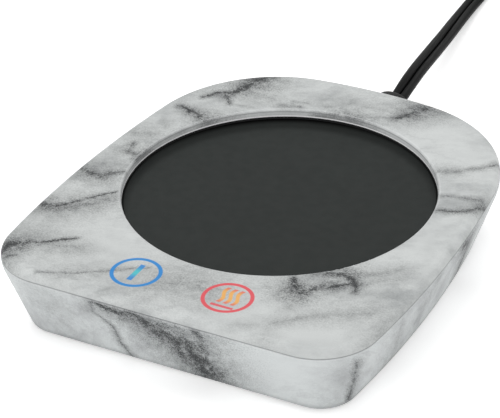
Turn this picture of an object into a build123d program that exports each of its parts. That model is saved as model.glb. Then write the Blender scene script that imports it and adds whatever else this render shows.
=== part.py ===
from build123d import *
import math
import os

# Electric mug warmer: a two-part moulded casing with a round heating plate sunk in its top, touch
# controls under the front of the cover, and a flat twin cord with a two-blade plug.
# Millimetres. +Z up, the touch controls at -Y and the cord at +Y. The origin is the middle of the
# casing's footprint, on the surface that the feet stand on.

# Casing outline, at the seam between cover and case. The lands are the cover's least widths
# beside, in front of and behind its round opening.
OPENING_R = 46.2
SIDE_LAND = 13.8
FRONT_LAND = 25.2
BACK_LAND = 19.0
WIDEST_AHEAD = 28.0  # the bowed sides are widest this far in front of the opening's axis
SIDE_BOW_R = 370.0
BACK_BOW_R = 163.0
FRONT_CORNER_R = 18.0
BACK_CORNER_R = 41.6
LEAST_R = 1.0
NEAR = 0.01  # edges this near a height or a radius are the ones that a fillet is meant for
PAST = 1.0  # how far a cut runs past the face that it opens

# Casing heights and walls
FOOT_PROUD = 1.0
CASE_HEIGHT = 24.6
COVER_RISE = 2.8
RIM_ROUND = 2.5
WALL_LAND = 1.6  # upright band of the wall just under the seam
BEND_ROUND = 6.0
TAPER_IN = 7.5
BASE_ROUND = 1.2
CASE_WALL = 2.0
CASE_FLOOR = 2.0
COVER_THICK = 2.2
SEAM_BREAK = 0.3
SKIRT_WALL = 1.2
SKIRT_FIT = 0.2
RIB_THICK = 1.4
RIB_DROP = 2.2
RIB_ANGLES = (12.0, 45.0, 75.0, 105.0, 135.0, 168.0, 192.0, 348.0)
FLOOR_RIB = 1.5
FLOOR_RING_IN = 7.0  # from the heat shield's posts

# Recess and heating plate
OPENING_ROUND = 1.0
RECESS_DEPTH = 3.0
PLATE_LIP = 2.3  # how far the plate reaches under the cover
PLATE_THICK = 1.2
PAN_DEPTH = 4.0
PAN_CORNER = 0.5
PLATE_STEP = 0.6  # the plate's face stands up from its rim, inside the opening
PLATE_EDGE_GAP = 0.4
PLATE_EDGE = 0.2
GASKET_THICK = 1.1
NEST_GAP = 0.4
NEST_WALL = 1.6
NEST_DROP = 4.0

# Heater stack under the plate
STACK_IN = 5.3  # from the inside of the plate's rim
HEATER_THICK = 1.0
PAD_THICK = 3.0
PRESSURE_THICK = 0.8
PRESSURE_FLANGE = 1.6
STUD_R = 1.5
STUD_IN = 12.0  # from the stack's edge
STUD_COUNT = 3
STUD_ANGLE = 90.0
STUD_TIP = 0.8
HOLE_GAP = 0.3
NUT_ACROSS = 5.5
NUT_THICK = 2.4
SENSOR_R = 2.2
SENSOR_FLANGE_R = 4.2
SENSOR_FLANGE = 1.0
SENSOR_TAIL = 2.0
CUTOUT_R = 1.9  # thermal fuse
CUTOUT_LENGTH = 10.0
CUTOUT_LEAD_R = 0.5
CUTOUT_LEAD = 5.0
CUTOUT_BACK = 14.0  # from the plate's axis
CLIP_THICK = 0.5
CLIP_WIDTH = 5.0
CLIP_FOOT = 3.0
LUG_SPACING = 7.0
LUG_WIDE = 4.8
LUG_THICK = 0.8
LUG_DROP = 5.4
LUG_IN = 7.0
LUG_ANGLE = -58.0
NOTCH_LONG = 16.0
NOTCH_WIDE = 8.0

# Retainer ring
RETAINER_THICK = 1.5
RETAINER_LIP = 4.0  # how far the ring reaches under the plate
RETAINER_BOSS_R = 3.0
RETAINER_BOSS_GAP = 1.0
RETAINER_ANGLES = (30.0, 150.0, 225.0, 315.0)
EAR_R = 3.4

# Screws
SCREW_FIT = 0.05
SCREW_PASS = 0.2
PILOT_SPARE = 0.5  # a pilot hole is this much deeper than its screw
SMALL_SCREW_R = 1.2
SMALL_HEAD_R = 2.4
SMALL_HEAD = 1.5
SMALL_BITE = 4.0
CASE_SCREW_R = 1.5
CASE_HEAD_R = 2.7
CASE_HEAD = 2.0
CASE_BITE = 6.0
CASE_BOSS_R = 3.0
CASE_BOSS_DROP = 11.4
CASE_BOSS_GAP = 0.3
COLUMN_WALL = 1.2
COUNTERBORE_R = 3.2
SCREW_SEAT = 5.0
FRONT_SCREW_IN = 16.0
BACK_SCREW_ANGLE = 56.0

# Feet
FOOT_R = 5.0
FOOT_RECESS = 1.0
FOOT_GAP = 0.15
FOOT_CORNER = 0.4

# Heat shield
SHIELD_THICK = 0.5
SHIELD_LIFT = 3.0
SHIELD_POST_R = 2.4
SHIELD_PIN_R = 1.0
SHIELD_PIN_UP = 0.7
SHIELD_POST_IN = 5.0  # from the shield's edge
SHIELD_ANGLES = (45.0, 135.0, 225.0, 315.0)

# Control board and what it carries
TOUCH_SPACING = 29.1
TOUCH_IN = 13.7  # touch centres, from the front edge
CONTACT_HEIGHT = 4.0
CONTACT_R = 4.2
CONTACT_HOLE_R = 2.2
LED_R = 1.5
LED_HEIGHT = 3.4
LED_CORNER = 0.7
BOARD_LENGTH = 84.0
BOARD_DEPTH = 16.5
BOARD_IN = 5.0
BOARD_THICK = 1.6
BOARD_GAP = 1.0
BOARD_SCREW_IN = 4.2
BOARD_BOSS_R = 2.4
PARTS_IN = 7.8  # middle of the components, from the board's front edge
TERMINAL_X = 24.5
TERMINAL_WIDE = 10.0
TERMINAL_LONG = 8.0
TERMINAL_TALL = 8.0
TERMINAL_PITCH = 5.0
TERMINAL_PORT = 6.0  # the wires' height, below the board
TERMINAL_HOLE_R = 1.2
TERMINAL_HOLE_DEEP = 2.0
FUSE_X = -16.4
FUSE_R = 2.0
FUSE_LONG = 9.0
FILM_X = -7.6
FILM_LONG = 11.0
FILM_WIDE = 6.0
FILM_TALL = 9.5
FILM_ROUND = 0.8
CAN_X = 6.4
CAN_R = 4.0
CAN_TALL = 9.0
CAN_CRIMP = 0.4
CAN_CRIMP_LOW = 1.6
CAN_CRIMP_WIDE = 0.8
TRIAC_X = 14.0
TRIAC_THICK = 4.2
TRIAC_WIDE = 9.6
TRIAC_TALL = 8.4
TRIAC_TAB = 1.2
TRIAC_TAB_TALL = 3.0
CHIP_LONG = 8.6
CHIP_WIDE = 3.9
CHIP_TALL = 1.5
CHIP_LEGS = 7
CHIP_LEG = 0.9
CHIP_LEG_WIDE = 0.45

# Cord, strain relief and clamp. A flat twin cord: its width, and its thickness.
CORD_WIDE = 5.4
CORD_THICK = 2.8
CORD_HEIGHT = 15.4
CORD_CLEAR = 0.8  # over the cord and its wires, under the retainer ring
PORT_IN = 6.8
PORT_WALL = 1.6
NECK_WIDE = 6.6
NECK_TALL = 3.8
NECK_FIT = 0.1
BOOT_WIDE = 8.2
BOOT_TALL = 5.2
BOOT_OUT = 11.9
BOOT_SLIM = 0.4
BOOT_CORNER = 0.7
FLANGE_WIDE = 10.4
FLANGE_TALL = 7.4
FLANGE_THICK = 1.6
TAIL_LONG = 5.8
CLAMP_LONG = 23.0
CLAMP_WIDE = 4.0
CLAMP_THICK = 2.0
CLAMP_SCREW_X = 8.4
CLAMP_POST_R = 2.1
WIRE_R = 0.9
WIRE_APART = 0.45
WIRE_LIFT = 0.9  # the lowest mains wire's clearance over the heat shield
WIRE_BEND = 1.8
WIRE_SIDES = 8
WIRE_RUN = 3.0  # the wires' short straight ends
WIRE_OUT = 3.0  # the mains wires run this far outside the stack
WIRE_ANGLES = (115.0, 160.0, 205.0)
RIBBON_WIDE = 2.8
RIBBON_THICK = 1.2
RIBBON_DROP = 3.0
RIBBON_IN = 1.6  # from the board's back edge

# Cord route to the coil: X, Y from the strain relief's end, and Z from the table
CORD_ROUTE = (
    (0.0, 0.0, CORD_HEIGHT),
    (0.0, 12.8, CORD_HEIGHT),
    (-3.0, 27.3, 12.6),
    (-7.6, 43.8, 7.6),
    (-12.6, 61.8, 3.0),
    (-16.4, 82.8, 1.45),
    (-17.7, 99.8, 1.45),
    (-17.7, 116.8, 1.45),
)
BEND_SHARE = 0.45

# Coil of the put-away length, and the plug beside it
TURN_R = 36.5  # centre line of the outermost turn
TURN_PITCH = 5.4
COIL_ENTRY = 21.0  # straight cord in line with the outermost turn
TURNS_PER_LAYER = 2.75
LAYERS = 2
LAYER_PITCH = 3.0
COIL_SLACK = 0.3
COIL_CORNER = 0.7
PLUG_LEAD = 14.0
PLUG_LONG = 30.0
PLUG_WIDE = 24.0
PLUG_THICK = 15.0
PLUG_NECK_LONG = 12.0
PLUG_NECK_WIDE = 9.0
PLUG_NECK_THICK = 6.4
PLUG_ROUND = 2.2
PLUG_CORNER = 1.0
BLADE_SPACING = 12.7
BLADE_WIDE = 6.3
BLADE_THICK = 1.5
BLADE_LONG = 16.0
BLADE_TIP = 1.2

# Sizes, heights and places that several pieces share
body_width = 2 * (OPENING_R + SIDE_LAND)
body_depth = FRONT_LAND + 2 * OPENING_R + BACK_LAND
y_front = -body_depth / 2
y_back = body_depth / 2
y_plate = y_back - BACK_LAND - OPENING_R
y_widest = y_plate - WIDEST_AHEAD
z_under = FOOT_PROUD
z_top = z_under + CASE_HEIGHT
z_seam = z_top - COVER_RISE
z_land = z_seam - WALL_LAND
z_ceiling = z_top - COVER_THICK
z_floor = z_under + CASE_FLOOR
z_plate = z_top - RECESS_DEPTH
z_rim = z_plate - PLATE_STEP
z_collar = z_rim + GASKET_THICK
z_pan = z_plate - PAN_DEPTH
z_heater = z_plate - PLATE_THICK
z_pad = z_heater - HEATER_THICK
z_pressure = z_pad - PAD_THICK
z_stack = z_pressure - PRESSURE_THICK
z_board = z_ceiling - CONTACT_HEIGHT
z_parts = z_board - BOARD_THICK
z_column = z_ceiling - CASE_BOSS_DROP
z_shield = z_floor + SHIELD_LIFT
plate_r = OPENING_R + PLATE_LIP
nest_in_r = plate_r + NEST_GAP
nest_out_r = nest_in_r + NEST_WALL
stack_r = plate_r - PLATE_THICK - STACK_IN
stud_reach = stack_r - STUD_IN
lug_reach = stack_r - LUG_IN
shield_reach = stack_r - SHIELD_POST_IN
floor_ring_r = shield_reach - FLOOR_RING_IN
retainer_in_r = plate_r - RETAINER_LIP
board_cut_r = nest_out_r + BOARD_GAP
column_r = COUNTERBORE_R + COLUMN_WALL
y_port = y_back - PORT_IN
y_tail = y_port - FLANGE_THICK
y_board = y_front + BOARD_IN
y_parts = y_board + PARTS_IN
touch_x = TOUCH_SPACING / 2
board_screw_x = BOARD_LENGTH / 2 - BOARD_SCREW_IN
board_screw_y = y_board + BOARD_SCREW_IN
cord_bottom = CORD_HEIGHT - CORD_THICK / 2
y_boot = y_back + BOOT_OUT
y_clamp = (y_tail + y_plate + nest_out_r) / 2
z_coil = (LAYERS - 1) * LAYER_PITCH + CORD_THICK / 2  # middle of the coil's top layer


# General shapes


def outline(inset=0.0):
    """The casing's outline as a face, moved in by inset all round."""
    half = body_width / 2 - inset
    bow = SIDE_BOW_R - inset
    right = Pos(half - bow, y_widest) * Circle(bow)
    left = Pos(bow - half, y_widest) * Circle(bow)
    back = Pos(0, y_back - BACK_BOW_R) * Circle(BACK_BOW_R - inset)
    ahead = Align.CENTER, Align.MIN
    front = Pos(0, y_front + inset) * Rectangle(body_width, 2 * body_depth, align=ahead)
    face = right & left & back & front
    face = fillet(face.vertices().group_by(Axis.Y)[0], max(FRONT_CORNER_R - inset, LEAST_R))
    back_corners = [v for v in face.vertices() if v.Y > 0]
    return fillet(back_corners, max(BACK_CORNER_R - inset, LEAST_R))


def prism(face, low, high):
    return extrude(Pos(0, 0, low) * face, high - low)


def post(x, y, radius, low, high):
    base = Align.CENTER, Align.CENTER, Align.MIN
    return Pos(x, y, low) * Cylinder(radius, high - low, align=base)


def disc(radius, low, high):
    return post(0, y_plate, radius, low, high)


def ring(inner, outer, low, high):
    return disc(outer, low, high) - disc(inner, low, high)


def block(x, y, wide, long, low, high):
    base = Align.CENTER, Align.CENTER, Align.MIN
    return Pos(x, y, low) * Box(wide, long, high - low, align=base)


def around(reach, degrees):
    """A point at this distance and direction from the plate's axis."""
    angle = math.radians(degrees)
    return reach * math.cos(angle), y_plate + reach * math.sin(angle)


def stadium(wide, tall, y):
    """A flat face with round ends that looks along the cord at this place."""
    return Plane((0, y, CORD_HEIGHT), x_dir=(1, 0, 0), z_dir=(0, 1, 0)) * SlotOverall(wide, tall)


def screws(places, shank_r, head_r, head, bite, seat):
    """Pan-head screws that point up, seated on a face at this height."""
    group = []
    for x, y in places:
        top = post(x, y, head_r, seat - head, seat)
        top = chamfer(top.edges().group_by(Axis.Z)[0], head / 2)
        group.append(top + post(x, y, shank_r, seat, seat + bite))
    return group


# Places


def case_screw_places():
    x = body_width / 2 - FRONT_SCREW_IN
    y = y_front + FRONT_SCREW_IN
    back_x, back_y = around(nest_out_r + CASE_BOSS_R + CASE_BOSS_GAP, BACK_SCREW_ANGLE)
    return [(x, y), (-x, y), (back_x, back_y), (-back_x, back_y)]


def retainer_places():
    reach = nest_out_r + RETAINER_BOSS_R + RETAINER_BOSS_GAP
    return [around(reach, angle) for angle in RETAINER_ANGLES]


def board_screw_places():
    return [(board_screw_x, board_screw_y), (-board_screw_x, board_screw_y)]


def stud_places():
    step = 360 / STUD_COUNT
    return [around(stud_reach, STUD_ANGLE + i * step) for i in range(STUD_COUNT)]


def shield_places():
    return [around(shield_reach, angle) for angle in SHIELD_ANGLES]


def touch_places():
    y = y_front + TOUCH_IN
    return [(-touch_x, y), (touch_x, y)]


def clamp_places():
    return [(-CLAMP_SCREW_X, y_clamp), (CLAMP_SCREW_X, y_clamp)]


def lug_places():
    x, y = around(lug_reach, LUG_ANGLE)
    return [(x - LUG_SPACING / 2, y), (x + LUG_SPACING / 2, y)]


# Casing


def wall_inset(z):
    """How far the leaning outer wall stands in from the outline at this height."""
    return TAPER_IN * max(z_land - z, 0) / (z_land - z_under)


def wall_form(inset, low):
    """A solid with the leaning walls of the case, moved in by inset, up to the seam."""
    foot = Pos(0, 0, low) * outline(inset + wall_inset(low))
    bend = Pos(0, 0, z_land) * outline(inset)
    return loft([foot, bend], ruled=True) + prism(outline(inset), z_land, z_seam)


def case_form():
    """The outside of the lower case as a solid."""
    form = wall_form(0, z_under)
    bend = [e for e in form.edges() if abs(e.center().Z - z_land) < NEAR]
    form = fillet(bend, BEND_ROUND)
    form = fillet(form.edges().group_by(Axis.Z)[0], BASE_ROUND)
    return chamfer(form.edges().group_by(Axis.Z)[-1], SEAM_BREAK)


def floor_ribs():
    ribs = ring(floor_ring_r - RIB_THICK, floor_ring_r, z_under, z_floor + FLOOR_RIB)
    reach = FLOOR_RING_IN + RIB_THICK
    for angle in SHIELD_ANGLES:
        x, y = around(shield_reach - reach / 2, angle)
        bar = Rot(0, 0, angle) * block(0, 0, reach, RIB_THICK, z_under, z_floor + FLOOR_RIB)
        ribs += Pos(x, y, 0) * bar
    return ribs


def lower_case():
    outside = case_form()
    case = outside - wall_form(CASE_WALL, z_floor)
    inner = floor_ribs()
    for x, y in case_screw_places():
        inner += post(x, y, column_r, z_under, z_column)
    for x, y in shield_places():
        inner += post(x, y, SHIELD_POST_R, z_under, z_shield)
        inner += post(x, y, SHIELD_PIN_R, z_shield, z_shield + SHIELD_THICK + SHIELD_PIN_UP)
    for x, y in clamp_places():
        inner += post(x, y, CLAMP_POST_R, z_under, cord_bottom + CORD_THICK)
    inner += block(0, y_clamp, 2 * CLAMP_SCREW_X, RIB_THICK, z_under, cord_bottom)
    port = stadium(NECK_WIDE + 2 * PORT_WALL, NECK_TALL + 2 * PORT_WALL, y_port)
    inner += extrude(port, PORT_IN)
    case += inner & outside
    for x, y in case_screw_places():
        case -= post(x, y, FOOT_R + FOOT_GAP, z_under, z_under + FOOT_RECESS)
        case -= post(x, y, COUNTERBORE_R, z_under, z_under + SCREW_SEAT)
        case -= post(x, y, CASE_SCREW_R + SCREW_PASS, z_under, z_column)
    for x, y in clamp_places():
        top = cord_bottom + CORD_THICK
        low = top - SMALL_BITE - PILOT_SPARE
        case -= post(x, y, SMALL_SCREW_R + SCREW_FIT, low, top)
    hole = stadium(NECK_WIDE + 2 * NECK_FIT, NECK_TALL + 2 * NECK_FIT, y_port - PAST)
    return case - extrude(hole, PORT_IN + 2 * PAST)


def cover_ribs():
    """Stiffening ribs under the cover, between the plate's nest and the skirt."""
    gap = prism(outline(CASE_WALL + SKIRT_FIT), z_ceiling - RIB_DROP, z_ceiling)
    gap -= disc(nest_out_r, z_ceiling - RIB_DROP, z_ceiling)
    bars = None
    for angle in RIB_ANGLES:
        x, y = around(body_depth / 2, angle)
        bar = block(0, 0, body_depth, RIB_THICK, z_ceiling - RIB_DROP, z_ceiling)
        bar = Pos(x, y, 0) * (Rot(0, 0, angle) * bar)
        bars = bar if bars is None else bars + bar
    return gap & bars


def top_cover():
    cover = prism(outline(), z_seam, z_top)
    cover = fillet(cover.edges().group_by(Axis.Z)[-1], RIM_ROUND)
    cover -= prism(outline(CASE_WALL), z_seam, z_ceiling)
    skirt_low = z_land + SKIRT_FIT
    skirt = prism(outline(CASE_WALL + SKIRT_FIT), skirt_low, z_ceiling)
    cover += skirt - prism(outline(CASE_WALL + SKIRT_FIT + SKIRT_WALL), skirt_low, z_ceiling)
    cover += disc(nest_out_r, z_collar, z_ceiling)
    cover += ring(nest_in_r, nest_out_r, z_ceiling - NEST_DROP, z_ceiling)
    cover += cover_ribs()
    for x, y in retainer_places():
        cover += post(x, y, RETAINER_BOSS_R, z_pan, z_ceiling)
    for x, y in board_screw_places():
        cover += post(x, y, BOARD_BOSS_R, z_board, z_ceiling)
    for x, y in case_screw_places():
        cover += post(x, y, CASE_BOSS_R, z_column, z_ceiling)
    cover -= disc(OPENING_R, z_collar - PAST, z_top)
    lip = [e for e in cover.edges().group_by(Axis.Z)[-1] if e.geom_type == GeomType.CIRCLE]
    lip = [e for e in lip if abs(e.radius - OPENING_R) < NEAR]
    cover = fillet(lip, OPENING_ROUND)
    pilot = SMALL_SCREW_R + SCREW_FIT
    deep = SMALL_BITE - RETAINER_THICK + PILOT_SPARE
    for x, y in retainer_places():
        cover -= post(x, y, pilot, z_pan, z_pan + deep)
    deep = SMALL_BITE - BOARD_THICK + PILOT_SPARE
    for x, y in board_screw_places():
        cover -= post(x, y, pilot, z_board, z_board + deep)
    deep = CASE_BITE + PILOT_SPARE
    for x, y in case_screw_places():
        cover -= post(x, y, CASE_SCREW_R + SCREW_FIT, z_column, z_column + deep)
    return cover


def case_screws():
    seat = z_under + SCREW_SEAT
    bite = z_column + CASE_BITE - seat
    return screws(case_screw_places(), CASE_SCREW_R, CASE_HEAD_R, CASE_HEAD, bite, seat)


def rubber_feet():
    feet = []
    for x, y in case_screw_places():
        foot = post(x, y, FOOT_R, 0, z_under + FOOT_RECESS)
        feet.append(chamfer(foot.edges().group_by(Axis.Z)[0], FOOT_CORNER))
    return feet


# Heating plate and heater stack


def heating_plate():
    """A shallow pressed pan: a flat raised face, and a rim that turns down under the cover."""
    pan = disc(plate_r, z_pan, z_rim)
    pan = chamfer(pan.edges().group_by(Axis.Z)[-1], PAN_CORNER)
    face = disc(OPENING_R - PLATE_EDGE_GAP, z_heater, z_plate)
    pan += chamfer(face.edges().group_by(Axis.Z)[-1], PLATE_EDGE)
    return pan - disc(plate_r - PLATE_THICK, z_pan, z_heater)


def plate_gasket():
    return ring(OPENING_R, plate_r - PAN_CORNER, z_rim, z_collar)


def stack_disc(low, high):
    """A disc of the heater stack, with holes for the studs and the sensor."""
    plate = disc(stack_r, low, high)
    plate -= disc(SENSOR_R + HOLE_GAP, low, high)
    for x, y in stud_places():
        plate -= post(x, y, STUD_R + HOLE_GAP, low, high)
    return plate


def lug_notch(low, high):
    x, y = around(lug_reach, LUG_ANGLE)
    return block(x, y, NOTCH_LONG, NOTCH_WIDE, low, high)


def heating_element():
    return stack_disc(z_pad, z_heater)


def insulation_pad():
    return stack_disc(z_pressure, z_pad) - lug_notch(z_pressure, z_pad)


def pressure_plate():
    """Steel disc with a turned-down edge that presses the stack against the plate."""
    plate = stack_disc(z_stack, z_pressure)
    low = z_stack - PRESSURE_FLANGE
    plate += ring(stack_r - PRESSURE_THICK, stack_r, low, z_stack)
    return plate - lug_notch(low, z_pressure)


def plate_studs():
    low = z_stack - NUT_THICK - STUD_TIP
    return [post(x, y, STUD_R, low, z_heater) for x, y in stud_places()]


def plate_nuts():
    nuts = []
    for x, y in stud_places():
        face = Pos(x, y) * RegularPolygon(NUT_ACROSS / 2, 6, major_radius=False)
        nut = prism(face, z_stack - NUT_THICK, z_stack)
        nuts.append(nut - post(x, y, STUD_R + SCREW_FIT, z_stack - NUT_THICK, z_stack))
    return nuts


def temperature_sensor():
    body = disc(SENSOR_R, z_stack - SENSOR_FLANGE - SENSOR_TAIL, z_heater)
    return body + disc(SENSOR_FLANGE_R, z_stack - SENSOR_FLANGE, z_stack)


def thermal_fuse():
    y = y_plate + CUTOUT_BACK
    lying = Pos(0, y, z_stack - CUTOUT_R) * Rot(0, 90, 0)
    leads = lying * Cylinder(CUTOUT_LEAD_R, CUTOUT_LENGTH + 2 * CUTOUT_LEAD)
    return lying * Cylinder(CUTOUT_R, CUTOUT_LENGTH) + leads


def fuse_clip():
    """A strap bent round the thermal fuse, with a foot each side on the pressure plate."""
    y = y_plate + CUTOUT_BACK
    outer = CUTOUT_R + CLIP_THICK
    middle = z_stack - CUTOUT_R
    upright = Rot(0, 90, 0) * Cylinder(outer, CLIP_WIDTH)
    span = 2 * (outer + CLIP_FOOT)
    strap = Pos(0, y, middle) * upright & block(0, y, CLIP_WIDTH, span, middle - outer, z_stack)
    strap += block(0, y, CLIP_WIDTH, 2 * outer, middle, z_stack)
    foot = block(0, y, CLIP_WIDTH, span, z_stack - CLIP_THICK, z_stack)
    fuse = Pos(0, y, middle) * (Rot(0, 90, 0) * Cylinder(CUTOUT_R, CLIP_WIDTH))
    fuse += block(0, y, CLIP_WIDTH, 2 * CUTOUT_R, middle, z_stack)
    return strap + foot - fuse


def heater_lugs():
    """Two flat tabs under the heater that its wires go on."""
    return [
        block(x, y, LUG_THICK, LUG_WIDE, z_pad - LUG_DROP, z_pad) for x, y in lug_places()
    ]


def retainer_ring():
    low = z_pan - RETAINER_THICK
    plate = disc(nest_in_r + NEST_WALL / 2, low, z_pan)
    for (x, y), angle in zip(retainer_places(), RETAINER_ANGLES):
        reach = math.hypot(x, y - y_plate)
        arm_x, arm_y = around(reach - EAR_R, angle)
        arm = Rot(0, 0, angle) * block(0, 0, 2 * EAR_R, 2 * EAR_R, low, z_pan)
        plate += Pos(arm_x, arm_y, 0) * arm
        plate += post(x, y, EAR_R, low, z_pan)
    for x, y in retainer_places():
        plate -= post(x, y, SMALL_SCREW_R + SCREW_PASS, low, z_pan)
    passage = stadium(CORD_WIDE + 2 * CORD_CLEAR, CORD_THICK + 2 * CORD_CLEAR, y_plate)
    plate -= extrude(passage, y_back - y_plate)
    return plate - disc(retainer_in_r, low, z_pan)


def retainer_screws():
    seat = z_pan - RETAINER_THICK
    return screws(retainer_places(), SMALL_SCREW_R, SMALL_HEAD_R, SMALL_HEAD, SMALL_BITE, seat)


def heat_shield():
    shield = disc(stack_r, z_shield, z_shield + SHIELD_THICK)
    for x, y in shield_places():
        shield -= post(x, y, SHIELD_PIN_R + SCREW_FIT, z_shield, z_shield + SHIELD_THICK)
    return shield


# Control board


def control_board():
    board = block(0, y_board + BOARD_DEPTH / 2, BOARD_LENGTH, BOARD_DEPTH, z_parts, z_board)
    board = fillet(board.edges().filter_by(Axis.Z), LEAST_R)
    board -= disc(board_cut_r, z_parts, z_board)
    for x, y in board_screw_places():
        board -= post(x, y, SMALL_SCREW_R + SCREW_PASS, z_parts, z_board)
    for x, y in case_screw_places():
        board -= post(x, y, CASE_BOSS_R + BOARD_GAP, z_parts, z_board)
    return board


def board_screws():
    return screws(
        board_screw_places(), SMALL_SCREW_R, SMALL_HEAD_R, SMALL_HEAD, SMALL_BITE, z_parts
    )


def touch_contacts():
    rings = []
    for x, y in touch_places():
        outside = post(x, y, CONTACT_R, z_board, z_ceiling)
        rings.append(outside - post(x, y, CONTACT_HOLE_R, z_board, z_ceiling))
    return rings


def indicator_leds():
    leds = []
    for x, y in touch_places():
        led = post(x, y, LED_R, z_board, z_board + LED_HEIGHT)
        leds.append(chamfer(led.edges().group_by(Axis.Z)[-1], LED_CORNER))
    return leds


def wire_terminal(side):
    """A two-way screw terminal under the board; side is -1 or 1."""
    x = side * TERMINAL_X
    low = z_parts - TERMINAL_TALL
    body = block(x, y_parts, TERMINAL_WIDE, TERMINAL_LONG, low, z_parts)
    body = chamfer(body.edges().group_by(Axis.Z)[0].filter_by(Axis.X), LEAST_R)
    for port in terminal_ports(side):
        body -= post(port.X, y_parts, TERMINAL_HOLE_R, low, low + TERMINAL_HOLE_DEEP)
    return body


def terminal_ports(side):
    """Where the wires meet a terminal's back face."""
    y = y_parts + TERMINAL_LONG / 2
    z = z_parts - TERMINAL_PORT
    half = TERMINAL_PITCH / 2
    return [Vector(side * TERMINAL_X + dx, y, z) for dx in (-half, half)]


def board_fuse():
    lying = Pos(FUSE_X, y_parts, z_parts - FUSE_R) * Rot(90, 0, 0)
    return lying * Cylinder(FUSE_R, FUSE_LONG)


def film_capacitor():
    body = block(FILM_X, y_parts, FILM_LONG, FILM_WIDE, z_parts - FILM_TALL, z_parts)
    return fillet(body.edges().group_by(Axis.Z)[0], FILM_ROUND)


def electrolytic_capacitor():
    can = post(CAN_X, y_parts, CAN_R, z_parts - CAN_TALL, z_parts)
    low = z_parts - CAN_CRIMP_LOW
    crimp = post(CAN_X, y_parts, CAN_R, low, low + CAN_CRIMP_WIDE)
    return can - (crimp - post(CAN_X, y_parts, CAN_R - CAN_CRIMP, low, low + CAN_CRIMP_WIDE))


def triac():
    low = z_parts - TRIAC_TALL
    body = block(TRIAC_X, y_parts, TRIAC_THICK, TRIAC_WIDE, low, z_parts)
    tab_x = TRIAC_X + (TRIAC_THICK - TRIAC_TAB) / 2
    tab = block(tab_x, y_parts, TRIAC_TAB, TRIAC_WIDE, low - TRIAC_TAB_TALL, low)
    return body + tab


def touch_chip():
    x, y = 0.0, y_front + TOUCH_IN
    chip = block(x, y, CHIP_LONG, CHIP_WIDE, z_board, z_board + CHIP_TALL)
    pitch = CHIP_LONG / CHIP_LEGS
    for i in range(CHIP_LEGS):
        leg_x = x + (i - (CHIP_LEGS - 1) / 2) * pitch
        across = CHIP_WIDE + 2 * CHIP_LEG
        chip += block(leg_x, y, CHIP_LEG_WIDE, across, z_board, z_board + CHIP_LEG_WIDE)
    return chip


# Cord, wires, strain relief and clamp


def tube(points, radius):
    """A wire along straight runs with arcs at the corners, its round section as a polygon."""
    path = FilletPolyline(*points, radius=WIRE_BEND)
    start = Plane(path @ 0, z_dir=path % 0)
    return sweep(start * RegularPolygon(radius, WIRE_SIDES), path=path)


def strain_relief():
    start = stadium(BOOT_WIDE, BOOT_TALL, y_port)
    end = stadium(BOOT_WIDE - BOOT_SLIM, BOOT_TALL - BOOT_SLIM, y_boot)
    boot = loft([start, end])
    boot = chamfer(boot.edges().group_by(Axis.Y)[-1], BOOT_CORNER)
    boot -= case_form()
    neck = extrude(stadium(NECK_WIDE, NECK_TALL, y_tail), y_back - y_tail)
    flange = extrude(stadium(FLANGE_WIDE, FLANGE_TALL, y_tail), FLANGE_THICK)
    return boot + neck + flange


def inner_cord():
    return extrude(stadium(CORD_WIDE, CORD_THICK, y_tail - TAIL_LONG), TAIL_LONG)


def cord_clamp():
    low = cord_bottom + CORD_THICK
    bar = block(0, y_clamp, CLAMP_LONG, CLAMP_WIDE, low, low + CLAMP_THICK)
    bar = fillet(bar.edges().filter_by(Axis.Z), LEAST_R)
    for x, y in clamp_places():
        bar -= post(x, y, SMALL_SCREW_R + SCREW_PASS, low, low + CLAMP_THICK)
    return bar


def clamp_screws():
    top = cord_bottom + CORD_THICK + CLAMP_THICK
    group = []
    for x, y in clamp_places():
        head = post(x, y, CLAMP_WIDE / 2, top, top + SMALL_HEAD)
        head = chamfer(head.edges().group_by(Axis.Z)[-1], SMALL_HEAD / 2)
        group.append(head + post(x, y, SMALL_SCREW_R, top - CLAMP_THICK - SMALL_BITE, top))
    return group


def mains_wires():
    """Two wires, one above the other, from the cord round the heater stack to their terminal."""
    wires = []
    start_y = y_tail - TAIL_LONG
    low = z_shield + SHIELD_THICK + WIRE_LIFT + WIRE_R
    for x, port in zip((CORD_WIDE / 4, -CORD_WIDE / 4), terminal_ports(-1)):
        points = [(x, start_y, CORD_HEIGHT), (x, start_y - WIRE_RUN, CORD_HEIGHT)]
        points += [(*around(stack_r + WIRE_OUT, angle), low) for angle in WIRE_ANGLES]
        points += [port + Vector(0, WIRE_RUN, 0), port]
        wires.append(tube(points, WIRE_R))
        low += 2 * WIRE_R + WIRE_APART
    return wires


def heater_wires():
    wires = []
    for (x, y), port in zip(lug_places(), terminal_ports(1)):
        points = [(x, y, z_pad - LUG_DROP), (x, y, port.Z)]
        points += [port + Vector(0, WIRE_RUN, 0), port]
        wires.append(tube(points, WIRE_R))
    return wires


def sensor_wires():
    """The sensor's flat ribbon, down from its tail and forward to the board."""
    top = z_stack - SENSOR_FLANGE - SENSOR_TAIL
    low = top - RIBBON_DROP
    end_y = y_plate - board_cut_r - RIBBON_IN
    points = [(0, y_plate, top), (0, y_plate, low), (0, end_y, low), (0, end_y, z_parts)]
    path = FilletPolyline(*points, radius=WIRE_BEND / 2)
    start = Plane(path @ 0, x_dir=(1, 0, 0), z_dir=path % 0)
    return sweep(start * Rectangle(RIBBON_WIDE, RIBBON_THICK), path=path)


def cord_radii(points):
    """Each corner's arc: a share of the shorter run, over the tangent of half the turn."""
    radii = []
    for a, b, c in zip(points, points[1:], points[2:]):
        before, after = Vector(*b) - Vector(*a), Vector(*c) - Vector(*b)
        half_turn = math.radians(before.get_angle(after)) / 2
        radii.append(BEND_SHARE * min(before.length, after.length) / math.tan(half_turn))
    return radii


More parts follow.
